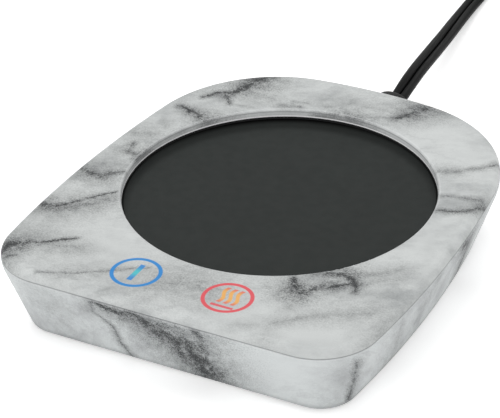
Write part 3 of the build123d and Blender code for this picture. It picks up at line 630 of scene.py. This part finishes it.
coverClear = (  # where the print stays pale
    (0.9, (20, -62, 5.0), (36, -63, 6.0), (50, -58, 5.0)),
    (0.7, (-48, -40, 3.5), (-34, -44, 5.0), (-22, -46, 4.0)),
    (0.6, (50, -17, 3.5), (50, 6, 3.5)),
    (0.7, (26, 53, 4.5), (36, 49, 5.0), (44, 42, 3.5)),
)
caseClear = (
    (0.9, (24, -76, 7.0), (44, -74, 8.0)),
    (0.5, (-52, -70, 4.0), (-40, -74, 4.0)),
    (0.4, (66, -56, 3.0), (72, -30, 4.0)),
)
caseStrokes = (
    (0.66, (-22, -69.5, 0.9), (-23.8, -74.5, 0.9), (-19.5, -78.5, 0.9), (-21.5, -85, 1.1), (-20, -90.5, 1.3)),
    (0.30, (-24, -67.5, 3.0), (-25, -74, 2.6)),
    (0.90, (-21, -69, 1.4), (-17.5, -70, 2.2), (-13, -71, 2.6), (-9, -70.5, 3.0)),
    (0.95, (-9, -70, 2.6), (-4.5, -72, 4.2), (1, -75, 5.6), (6, -78, 6.2), (10, -79, 6.2)),
    (1.0, (10, -79, 5.4), (12, -83.5, 5.4), (14.5, -87, 6.0), (17, -91, 6.0)),
    (0.85, (-2, -76, 3.6), (5, -81.5, 4.2), (9, -87, 4.4)),
    (0.90, (15, -83, 4.4), (20.5, -88.5, 5.4)),
    (0.80, (12, -69, 2.2), (14, -73, 3.0), (15, -78, 4.2)),
    (0.45, (-8, -77, 3.0), (1, -83, 3.6), (6, -90, 3.2)),
    (0.24, (66, -19, 4.0), (71, -4, 4.0)),
    (0.76, (60, -62, 0.9), (63.5, -65.5, 0.9), (67.5, -70, 0.9), (71.5, -75.5, 1.0)),
    (0.14, (57, -64, 2.6), (62.5, -70, 3.6), (66, -77, 3.2)),
    (0.36, (66, -40, 3.0), (74, -42.5, 4.5), (82, -46, 5.5)),
    (0.36, (61.5, -13, 2.0), (66.5, -19.5, 3.0), (74, -27, 3.6)),
    (0.95, (60.5, 4, 2.6), (63, 10, 3.2), (68, 16, 3.2), (76, 23, 3.0)),
    (0.30, (-37, -73, 4.6), (-45, -78, 4.6)),
    (0.50, (-60, -20, 1.6), (-68, -12, 2.0), (-84, -8, 1.6)),
    (0.75, (-60, 20, 2.6), (-70, 26, 4.8), (-82, 24, 3.6)),
    (0.45, (-52, 44, 1.6), (-60, 56, 2.4), (-66, 64, 1.8)),
    (0.75, (-24, 68, 1.8), (-18, 78, 3.6), (-22, 90, 2.8)),
    (0.55, (18, 70, 1.6), (26, 78, 2.4), (30, 90, 1.6)),
    (0.60, (50, 46, 2.0), (60, 60, 3.8), (68, 64, 3.2)),
)

touchMarks = {  # mm
    "middles": (-14.75, 14.5),
    "front": -54.4,
    "ringRadius": 6.9,
    "ringStroke": 0.58,
    "barLength": 8.4,
    "barStroke": 0.78,
    "barBlend": (0.2, 3.2),  # from the bar's middle, where its colour changes
    "heatSpacing": 2.2,
    "heatShift": 0.5,
    "heatFoot": -2.9,  # from the mark's middle
    "heatTop": 4.7,
    "heatSway": 0.58,
    "heatStroke": 0.60,
    "heatBlend": (1.4, 4.4),
    "heatLineReach": (-3.0, 4.0),  # of the line under the heat
    "heatLineHeight": (-4.95, -3.95),
    "blue": rgb(24, 134, 208),
    "cyan": rgb(60, 196, 204),
    "coral": rgb(226, 78, 88),
    "amber": rgb(242, 176, 84),
}


def strokeTool():  # a node group that adds one tapered stroke of the print to those before it
    tool = bpy.data.node_groups.new("printStroke", "ShaderNodeTree")
    vectors = ("place", "start", "run", "perLength")
    for name in (*vectors, "width", "widening", "dark", "spray", "before"):
        kind = "NodeSocketVector" if name in vectors else "NodeSocketFloat"
        tool.interface.new_socket(name, in_out="INPUT", socket_type=kind)
    tool.interface.new_socket("after", in_out="OUTPUT", socket_type="NodeSocketFloat")
    given = tool.nodes.new("NodeGroupInput").outputs
    away = vector(tool, "SUBTRACT", given["place"], given["start"])
    along = vector(tool, "DOT_PRODUCT", away, given["perLength"])
    along = number(tool, "MAXIMUM", number(tool, "MINIMUM", along, 1.0), 0.0)
    gap = vector(tool, "DISTANCE", away, scaled(tool, given["run"], along))
    width = number(tool, "MULTIPLY_ADD", along, given["widening"], given["width"])
    off = number(tool, "DIVIDE", gap, width)
    halo = number(tool, "MULTIPLY_ADD", off, -1 / marble["fade"], given["spray"])
    halo = number(tool, "MAXIMUM", halo, 0.0)
    least, gain = marble["falloff"]
    halo = number(tool, "MULTIPLY", halo, number(tool, "MULTIPLY_ADD", halo, gain, least))
    core = number(tool, "MAXIMUM", number(tool, "MULTIPLY_ADD", off, -1 / marble["core"], 1.0), 0.0)
    core = number(tool, "MULTIPLY", number(tool, "MULTIPLY", core, marble["coreShade"]), given["dark"])
    ink = number(tool, "MULTIPLY", number(tool, "ADD", halo, core), given["dark"])
    after = number(tool, "MAXIMUM", ink, given["before"])
    tool.links.new(after, tool.nodes.new("NodeGroupOutput").inputs["after"])
    return tool


def drawStrokes(tree, place, spray, strokes, tool):
    dark = 0.0
    for shade, *points in strokes:
        for (x, y, width), (nextX, nextY, nextWidth) in zip(points, points[1:]):
            run = Vector((nextX - x, nextY - y, 0))
            inputs = {
                "place": place,
                "start": (x, y, 0),
                "run": run,
                "perLength": run / run.length_squared,
                "width": width * marble["breadth"],
                "widening": (nextWidth - width) * marble["breadth"],
                "dark": shade,
                "spray": spray,
                "before": dark,
            }
            dark = addNode(tree, "Group", inputs, node_tree=tool).outputs["after"]
    return dark


def stretch(name, base):  # an edge's from, to and strength, where it lies on the casing
    start, end, *strength = edges[name]
    return base + start, base + end, *strength


def fromRecess(tree, x, y):  # distance from the middle of the recess
    across = inPlan(tree, x, number(tree, "SUBTRACT", y, casing["recessY"]))
    return vector(tree, "LENGTH", across)


def layFlat(tree, place, edgeHeight, turn):  # a wall is folded out past its edge, the recess's inwards
    x, y, z = split(tree, place)
    flat = inPlan(tree, x, y)
    turn = span(tree, fromRecess(tree, x, y), *stretch("fold", casing["recessRadius"]), -turn, turn)
    below = number(tree, "MULTIPLY", number(tree, "SUBTRACT", edgeHeight, z), turn)
    grow = number(tree, "DIVIDE", below, vector(tree, "LENGTH", flat))
    return scaled(tree, flat, number(tree, "ADD", grow, 1.0))


def shaken(tree, place, scale, reach, detail):  # moved a little, so that what is drawn wanders
    colour = noise(tree, place, scale, detail, 0.6, "Color")
    shift = vector(tree, "MULTIPLY", vector(tree, "SUBTRACT", colour, (0.5, 0.5, 0.5)), (1, 1, 0))
    return vector(tree, "ADD", place, scaled(tree, shift, reach * 2))


def streaks(tree, place, long, wide, rough):  # noise drawn out along the print's run
    inputs = {"Vector": place, "Angle": math.radians(-marble["lie"])}
    turned = addNode(tree, "VectorRotate", inputs, rotation_type="Z_AXIS").outputs[0]
    drawn = vector(tree, "MULTIPLY", turned, (1 / long, 1 / wide, 1.0))
    return noise(tree, drawn, 1.0, 5.0, rough)


def patches(tree, place, long, wide, rough, start, full, shade):
    return span(tree, streaks(tree, place, long, wide, rough), start, full, 0.0, shade)


def groundShade(tree, place, grain, clear, tool):  # shade of the print between its veins
    cloud = patches(tree, place, *marble["cloud"])
    mottle = patches(tree, place, *marble["mottle"])
    ridge = streaks(tree, vector(tree, "ADD", place, marble["hairOffset"]), *marble["hair"])
    ridge = number(tree, "ABSOLUTE", number(tree, "SUBTRACT", ridge, 0.5))
    hair = span(tree, ridge, 0.0, marble["hairWidth"], marble["hairShade"], 0.0)
    shade = number(tree, "ADD", number(tree, "MAXIMUM", cloud, hair), mottle)
    shade = number(tree, "MULTIPLY_ADD", grain, marble["grainShade"], shade)
    pale = number(tree, "MINIMUM", drawStrokes(tree, place, 1.0, clear, tool), marble["clearest"])
    shade = number(tree, "MULTIPLY", shade, number(tree, "SUBTRACT", 1.0, pale))
    return number(tree, "MINIMUM", number(tree, "MAXIMUM", shade, 0.0), 1.0)


def printMarble(name, strokes, clear, edgeHeight, turn, tones, tool):
    material, tree, shader = startMaterial(name)
    flat = layFlat(tree, inMillimetres(tree), edgeHeight, turn)
    drawn = flat
    for scale, reach, detail in marble["wander"]:
        drawn = shaken(tree, drawn, scale, reach, detail)
    grain = number(tree, "SUBTRACT", noise(tree, flat, *marble["grain"]), 0.5)
    spray = number(tree, "MULTIPLY_ADD", grain, marble["spray"] * 2, 1.0)
    veins = drawStrokes(tree, drawn, spray, strokes, tool)
    broken = span(tree, noise(tree, drawn, *marble["breaks"]), *marble["broken"])
    veins = number(tree, "MINIMUM", number(tree, "MULTIPLY", veins, broken), 1.0)
    colour = blend(tree, groundShade(tree, drawn, grain, clear, tool), *tones)
    colour = blend(tree, veins, colour, marble["vein"])
    return material, tree, shader, flat, colour


def markCover(tree, flat, colour):  # a ring with a slanting bar, and a ring with rising heat
    for side in touchMarks["middles"]:
        centre = (side, touchMarks["front"], 0)
        place = vector(tree, "SUBTRACT", flat, centre)
        off = number(tree, "SUBTRACT", vector(tree, "LENGTH", place), touchMarks["ringRadius"])
        ink = touchMarks["blue"] if side < 0 else touchMarks["coral"]
        colour = blend(tree, inked(tree, off, touchMarks["ringStroke"]), colour, ink)
        x, y, _ = split(tree, place)
        colour = (drawBar if side < 0 else drawHeat)(tree, x, y, colour)
    return colour


def inked(tree, off, stroke, soft=0.16, full=0.94):  # full within the stroke's half-width, with a soft edge
    return span(tree, number(tree, "ABSOLUTE", off), stroke - soft, stroke + soft, full, 0.0)


def between(tree, value, low, high):
    off = number(tree, "SUBTRACT", value, (low + high) / 2)
    return inked(tree, off, (high - low) / 2)


def drawBar(tree, x, y, colour):
    half = touchMarks["barLength"] / 2
    bar = number(tree, "MULTIPLY", inked(tree, x, touchMarks["barStroke"]), between(tree, y, -half, half))
    middle = span(tree, number(tree, "ABSOLUTE", y), *touchMarks["barBlend"], 1.0, 0.0)
    return blend(tree, bar, colour, blend(tree, middle, touchMarks["blue"], touchMarks["cyan"]))


def drawHeat(tree, x, y, colour):
    low, high = touchMarks["heatFoot"], touchMarks["heatTop"]
    pace = math.tau / (high - low)
    swing = number(tree, "SINE", number(tree, "MULTIPLY_ADD", y, pace, -pace * (low + high) / 2))
    swayed = number(tree, "MULTIPLY_ADD", swing, touchMarks["heatSway"], x)
    tall = between(tree, y, low, high)
    fromMiddle = number(tree, "ABSOLUTE", number(tree, "SUBTRACT", y, (low + high) / 2))
    middle = span(tree, fromMiddle, *touchMarks["heatBlend"], 1.0, 0.0)
    ink = blend(tree, middle, touchMarks["coral"], touchMarks["amber"])
    for step in (-1, 0, 1):
        lane = step * touchMarks["heatSpacing"] + touchMarks["heatShift"]
        wave = inked(tree, number(tree, "SUBTRACT", swayed, lane), touchMarks["heatStroke"])
        colour = blend(tree, number(tree, "MULTIPLY", wave, tall), colour, ink)
    line = between(tree, y, *touchMarks["heatLineHeight"])
    line = number(tree, "MULTIPLY", line, between(tree, x, *touchMarks["heatLineReach"]))
    return blend(tree, line, colour, touchMarks["coral"])


def finishMarble(tree, shader, flat, colour):
    tree.links.new(colour, shader.inputs["Base Color"])
    shader.inputs["Specular IOR Level"].default_value = marble["sheen"]
    roughness = spread(tree, noise(tree, flat, 0.8, 3.0), *marble["roughness"])
    tree.links.new(roughness, shader.inputs["Roughness"])
    addBump(tree, shader, noise(tree, flat, 2.2), marble["texture"])


def paint(name, material):
    slots = nodes[name].data.materials
    for index in range(len(slots)):
        slots[index] = material


def tint(tree, mask, strength, colour, shade):
    return blend(tree, number(tree, "MULTIPLY", mask, strength), colour, shade)


def edgeCover(tree, colour, top):  # painted shade along the parting line, painted light on the recess wall, painted highlights on its lip and foot, painted shade along its top
    x, y, z = split(tree, inMillimetres(tree))
    start, end, strength = stretch("seamLine", casing["seam"])
    colour = blend(tree, span(tree, z, start, end, strength, 0.0), colour, marble["edge"])
    away = fromRecess(tree, x, y)
    start, end, strength = stretch("recessWall", casing["recessRadius"])
    wall = span(tree, away, start, end, 1.0, 0.0)
    colour = tint(tree, wall, strength, colour, marble["paintedLight"])
    start, end, strength = stretch("recessLip", casing["recessRadius"])
    colour = tint(tree, between(tree, away, start, end), strength, colour, marble["paintedLight"])
    start, end, strength = stretch("recessTop", top)
    line = number(tree, "MULTIPLY", between(tree, z, start, end), wall)
    colour = tint(tree, line, strength, colour, marble["edge"])
    foot = span(tree, z, *stretch("recessFoot", casing["plateTop"]), 1.0, 0.0)
    return tint(tree, foot, wall, colour, marble["bright"])


def edgeCase(tree, colour, low, high):  # painted highlight and painted shade under the parting line, painted shade towards the foot, and the bare underside
    z = split(tree, inMillimetres(tree))[2]
    start, end, strength = stretch("caseLit", high)
    colour = tint(tree, between(tree, z, start, end), strength, colour, marble["paintedLight"])
    start, end, strength = stretch("caseLine", high)
    colour = blend(tree, span(tree, z, start, end, 0.0, strength), colour, marble["edge"])
    start, end, strength = stretch("caseFoot", low)
    colour = blend(tree, span(tree, z, start, end, strength, 0.0), colour, marble["edge"])
    return blend(tree, span(tree, z, *stretch("caseBare", low)), marble["plain"], colour)


def dressCasing():
    tool = strokeTool()
    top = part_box("top_cover")[1].z / mm
    tones = marble["white"], marble["shade"]
    made = printMarble("coverMarble", coverStrokes, coverClear, top, marble["rimTurn"], tones, tool)
    material, tree, shader, flat, colour = made
    colour = edgeCover(tree, markCover(tree, flat, colour), top)
    finishMarble(tree, shader, flat, colour)
    paint("top_cover", material)
    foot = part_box("lower_case")[0].z / mm
    tones = marble["wallWhite"], marble["wallShade"]
    made = printMarble("caseMarble", caseStrokes, caseClear, casing["seam"], marble["wallTurn"], tones, tool)
    material, tree, shader, flat, colour = made
    finishMarble(tree, shader, flat, edgeCase(tree, colour, foot, casing["seam"]))
    paint("lower_case", material)


dressCasing()
print("casing printed")


# finishes of the other pieces, by the slot that each takes

mouldings = {  # colour, roughness, how much it varies, patches and grain per mm, grain's depth in mm
    "black_rubber": (rgb(22, 22, 23), 0.72, 0.20, 0.40, 4.0, 0.020),
    "black_plastic": (rgb(20, 21, 21), 0.50, 0.16, 0.30, 3.2, 0.014),
    "black_cord": (rgb(8, 9, 9), 0.55, 0.16, 0.20, 2.6, 0.012),
    "heat_plastic": (rgb(226, 223, 211), 0.55, 0.05, 0.12, 2.4, 0.012),
    "touch_foam": (rgb(50, 50, 52), 0.95, 0.25, 1.20, 2.0, 0.120),
    "terminal_green": (rgb(32, 116, 64), 0.48, 0.10, 0.40, 3.0, 0.012),
    "film_block": (rgb(172, 40, 28), 0.32, 0.10, 0.30, 2.2, 0.010),
    "chip_black": (rgb(24, 24, 26), 0.62, 0.18, 0.60, 5.0, 0.016),
    "wire_jacket": (rgb(198, 196, 188), 0.52, 0.08, 0.50, 2.0, 0.010),
    "fibre_felt": (rgb(232, 229, 220), 0.98, 0.10, 0.25, 1.6, 0.180),
}
plainSheen = 0.35
softSheen = {"black_cord": 0.09, "black_plastic": 0.2}
metals = {  # colour, roughness, length and width of its brush marks in mm
    "zinc_steel": (rgb(176, 179, 182), 0.34, 1.6, 0.25),
    "sheet_steel": (rgb(186, 188, 190), 0.30, 9.0, 0.22),
    "bright_brass": (rgb(208, 178, 104), 0.26, 2.0, 0.20),
    "bright_aluminium": (rgb(220, 222, 224), 0.28, 14.0, 0.25),
    "plug_pins": (rgb(214, 208, 192), 0.22, 5.0, 0.20),
}
tinned = rgb(196, 192, 180)


def varied(tree, place, colour, share, scale):  # the colour, a little darker and lighter in patches
    darker = (*[part * (1 - share) for part in colour[:3]], 1)
    lighter = (*[min(part * (1 + share), 1) for part in colour[:3]], 1)
    return blend(tree, spread(tree, noise(tree, place, scale, 4.0, 0.6)), darker, lighter)


def makeMoulding(slot):
    colour, roughness, share, perMm, grain, depth = mouldings[slot]
    material, tree, shader = startMaterial(slot + "Finish")
    shader.inputs["Specular IOR Level"].default_value = softSheen.get(slot, plainSheen)
    place = inMillimetres(tree)
    tree.links.new(varied(tree, place, colour, share, perMm), shader.inputs["Base Color"])
    dulled = spread(tree, noise(tree, place, perMm * 3, 3.0), roughness - 0.04, roughness + 0.05)
    tree.links.new(dulled, shader.inputs["Roughness"])
    addBump(tree, shader, noise(tree, place, grain, 2.0, 0.6), depth * mm)
    return material


def makeMetal(slot):
    colour, roughness, long, wide = metals[slot]
    material, tree, shader = startMaterial(slot + "Finish")
    shader.inputs["Metallic"].default_value = 1.0
    place = inMillimetres(tree)
    brushed = noise(tree, vector(tree, "MULTIPLY", place, (1 / long, 1 / wide, 1 / wide)), 1.0, 3.0, 0.6)
    tree.links.new(varied(tree, place, colour, 0.06, 0.2), shader.inputs["Base Color"])
    worn = spread(tree, brushed, roughness - 0.08, roughness + 0.10)
    tree.links.new(worn, shader.inputs["Roughness"])
    addBump(tree, shader, brushed, 0.006 * mm)
    return material


def addMetalPart(tree, shader, mask, colour, metalColour, roughness):  # bare metal where the mask is 1
    tree.links.new(blend(tree, mask, colour, metalColour), shader.inputs["Base Color"])
    tree.links.new(mask, shader.inputs["Metallic"])
    tree.links.new(number(tree, "MULTIPLY_ADD", mask, -0.3, roughness), shader.inputs["Roughness"])


plateCoat = {
    "colour": rgb(27, 32, 30),
    "fleck": (0.1, 0.1, 0.1, 1),
    # painted shadow colour at the plate's far edge
    "edge": rgb(4, 4, 4),
    "sheen": 0.10,
    "roughness": (0.42, 0.50),
    "shadowMiddle": (2.7, -1.7),  # of the circle past which the painted shadow of the recess wall darkens the plate, mm
    "shadowFades": ((43.4, 46.8, 0.40), (47.6, 51.2, 0.60)),  # from and to in mm, and how much darker the painted shadow makes it
}


def makeCoating():  # fine satin coating, with a painted shadow of the recess wall that darkens it and cuts its sheen towards the plate's far edge
    material, tree, shader = startMaterial("plateCoating")
    place = inMillimetres(tree)
    x, y, _ = split(tree, vector(tree, "SUBTRACT", place, (*plateCoat["shadowMiddle"], 0)))
    away = vector(tree, "LENGTH", inPlan(tree, x, y))
    coat = varied(tree, place, plateCoat["colour"], 0.06, 0.05)
    flecks = span(tree, noise(tree, place, 5.0, 1.0), 0.35, 0.75, 0.0, 0.12)
    coat = blend(tree, flecks, coat, plateCoat["fleck"])
    # painted shadow of the recess wall: darker colour and less sheen towards the far edge
    shadowFades = [span(tree, away, start, end, 0.0, share) for start, end, share in plateCoat["shadowFades"]]
    dark = number(tree, "ADD", *shadowFades)
    tree.links.new(blend(tree, dark, coat, plateCoat["edge"]), shader.inputs["Base Color"])
    sheen = number(tree, "MULTIPLY_ADD", dark, -plateCoat["sheen"], plateCoat["sheen"])
    tree.links.new(sheen, shader.inputs["Specular IOR Level"])
    roughness = spread(tree, noise(tree, place, 0.3, 3.0), *plateCoat["roughness"])
    tree.links.new(roughness, shader.inputs["Roughness"])
    addBump(tree, shader, noise(tree, place, 3.4), 0.008 * mm)
    return material


micaSheet = {
    "colour": rgb(148, 134, 104),
    "fleck": rgb(186, 172, 138),
    "track": rgb(120, 116, 110),
    "trackPitch": 3.2,  # mm
    "trackWidth": (0.2, 0.8),  # of the pitch
    "innerTurn": 9.0,  # radius in mm
    "border": 4.0,  # bare edge in mm
}


def makeMica():  # flecked sheet, with its flat heating track wound round the middle
    material, tree, shader = startMaterial("micaFinish")
    place = inMillimetres(tree)
    low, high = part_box("heating_element")
    x, y, _ = split(tree, vector(tree, "SUBTRACT", place, (low + high) / 2 / mm))
    away = vector(tree, "LENGTH", inPlan(tree, x, y))
    wound = number(tree, "FRACT", number(tree, "DIVIDE", away, micaSheet["trackPitch"]))
    reach = (high.x - low.x) / 2 / mm - micaSheet["border"]
    track = between(tree, wound, *micaSheet["trackWidth"])
    track = number(tree, "MULTIPLY", track, between(tree, away, micaSheet["innerTurn"], reach))
    fleck = span(tree, noise(tree, place, 1.4, 5.0, 0.75), 0.4, 0.7)
    sheet = blend(tree, fleck, micaSheet["colour"], micaSheet["fleck"])
    addMetalPart(tree, shader, track, sheet, micaSheet["track"], 0.55)
    addBump(tree, shader, number(tree, "ADD", track, fleck), 0.02 * mm)
    return material


boardFace = {
    "lacquer": rgb(20, 86, 44),
    "copper": rgb(42, 122, 66),
    "trackWidth": 0.28,  # mm
    "trackLength": 11.0,
    "trackPitch": 2.1,
    "padsPerMm": 0.28,
    "padEdge": (0.13, 0.17),  # of the spacing
}


def makeBoard():  # lacquered board with its copper tracks under the lacquer and tinned pads
    material, tree, shader = startMaterial("boardFinish")
    place = inMillimetres(tree)
    inputs = {
        "Vector": place,
        "Scale": 1.0,
        "Mortar Size": boardFace["trackWidth"],
        "Mortar Smooth": 0.2,
        "Brick Width": boardFace["trackLength"],
        "Row Height": boardFace["trackPitch"],
    }
    tracks = addNode(tree, "TexBrick", inputs, offset=0.37).outputs["Fac"]
    inputs = {"Vector": place, "Scale": boardFace["padsPerMm"]}
    pads = addNode(tree, "TexVoronoi", inputs, voronoi_dimensions="2D").outputs["Distance"]
    pad = span(tree, pads, *boardFace["padEdge"], 1.0, 0.0)
    lacquer = varied(tree, place, boardFace["lacquer"], 0.10, 0.2)
    colour = blend(tree, tracks, lacquer, boardFace["copper"])
    addMetalPart(tree, shader, pad, colour, tinned, 0.45)
    addBump(tree, shader, number(tree, "MAXIMUM", tracks, pad), 0.03 * mm)
    return material


ledLens = {"colour": (0.85, 0.90, 0.95, 1.0), "clear": 0.75, "roughness": (0.12, 0.30)}


def makeLens():
    material, tree, shader = startMaterial("lensFinish")
    place = inMillimetres(tree)
    tree.links.new(varied(tree, place, ledLens["colour"], 0.05, 0.6), shader.inputs["Base Color"])
    shader.inputs["Transmission Weight"].default_value = ledLens["clear"]
    frosted = spread(tree, noise(tree, place, 2.0), *ledLens["roughness"])
    tree.links.new(frosted, shader.inputs["Roughness"])
    return material


fuseTube = {"ceramic": rgb(214, 210, 196), "cap": 2.0}  # the cap's length in mm


def makeFuse():  # ceramic tube with a metal cap at each end
    material, tree, shader = startMaterial("fuseFinish")
    place = inMillimetres(tree)
    low, high = [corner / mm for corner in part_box("board_fuse")]
    along = 0 if high.x - low.x > high.y - low.y else 1
    ends = number(tree, "SUBTRACT", split(tree, place)[along], (low[along] + high[along]) / 2)
    inner = (high[along] - low[along]) / 2 - fuseTube["cap"]
    cap = span(tree, number(tree, "ABSOLUTE", ends), inner - 0.1, inner + 0.1)
    body = varied(tree, place, fuseTube["ceramic"], 0.06, 0.5)
    addMetalPart(tree, shader, cap, body, tinned, 0.6)
    addBump(tree, shader, noise(tree, place, 2.5), 0.01 * mm)
    return material


canSleeve = {
    "sleeve": rgb(24, 26, 38),
    "stripe": rgb(168, 172, 180),
    "stripeEdge": (0.30, 0.36),  # of the can's width, from its middle
    "top": rgb(200, 202, 204),
    "topEdge": (0.4, 0.2),  # below the top in mm
}


def makeCan():  # printed sleeve with its light stripe, and the bare top
    material, tree, shader = startMaterial("canFinish")
    place = inMillimetres(tree)
    low, high = [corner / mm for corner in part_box("electrolytic_capacitor")]
    x, _, z = split(tree, vector(tree, "SUBTRACT", place, (low + high) / 2))
    stripe = span(tree, x, *[share * (high.x - low.x) for share in canSleeve["stripeEdge"]])
    top = span(tree, z, *[(high.z - low.z) / 2 - down for down in canSleeve["topEdge"]])
    sleeve = varied(tree, place, canSleeve["sleeve"], 0.10, 0.4)
    sleeve = blend(tree, stripe, sleeve, canSleeve["stripe"])
    addMetalPart(tree, shader, top, sleeve, canSleeve["top"], 0.5)
    addBump(tree, shader, noise(tree, place, 1.5), 0.01 * mm)
    return material


cordJacket = {
    "lines": (60.0, 34.0, 1.0),  # for each metre along the cord, and for each time round it
    "patches": (1 / mm, 10.0, 1.0),
}


def makeCordJacket():  # drawn lines along the cord and a faint mottle
    material, tree, shader = startMaterial("cordJacket")
    run = addNode(tree, "TexCoord").outputs["UV"]
    lines = noise(tree, vector(tree, "MULTIPLY", run, cordJacket["lines"]), 1.0, 3.0, 0.6)
    place = vector(tree, "MULTIPLY", run, cordJacket["patches"])
    colour, roughness = mouldings["black_cord"][:2]
    shader.inputs["Specular IOR Level"].default_value = softSheen["black_cord"]
    tree.links.new(varied(tree, place, colour, 0.16, 0.25), shader.inputs["Base Color"])
    dulled = spread(tree, lines, roughness - 0.08, roughness + 0.06)
    tree.links.new(dulled, shader.inputs["Roughness"])
    addBump(tree, shader, lines, 0.02 * mm)
    return material


def dressNodes():
    makers = {
        "mica": makeMica,
        "board_green": makeBoard,
        "led_lens": makeLens,
        "fuse_body": makeFuse,
        "can_sleeve": makeCan,
        "plate_coating": makeCoating,
    }
    finishes = {slot: make() for slot, make in makers.items()}
    finishes.update({slot: makeMoulding(slot) for slot in mouldings})
    finishes.update({slot: makeMetal(slot) for slot in metals})
    for piece in nodes.values():
        for index, old in enumerate(piece.data.materials):
            slot = old.name.split(".")[0]
            if slot in finishes:
                piece.data.materials[index] = finishes[slot]


dressNodes()
mainsCord.data.materials.append(makeCordJacket())
for piece, slot in ((bootCollar, "black_plastic"), (plugShell, "black_plastic"), (coilStrap, "black_rubber")):
    piece.data.materials.clear()
    piece.data.materials.append(makeMoulding(slot))
print("finishes given")
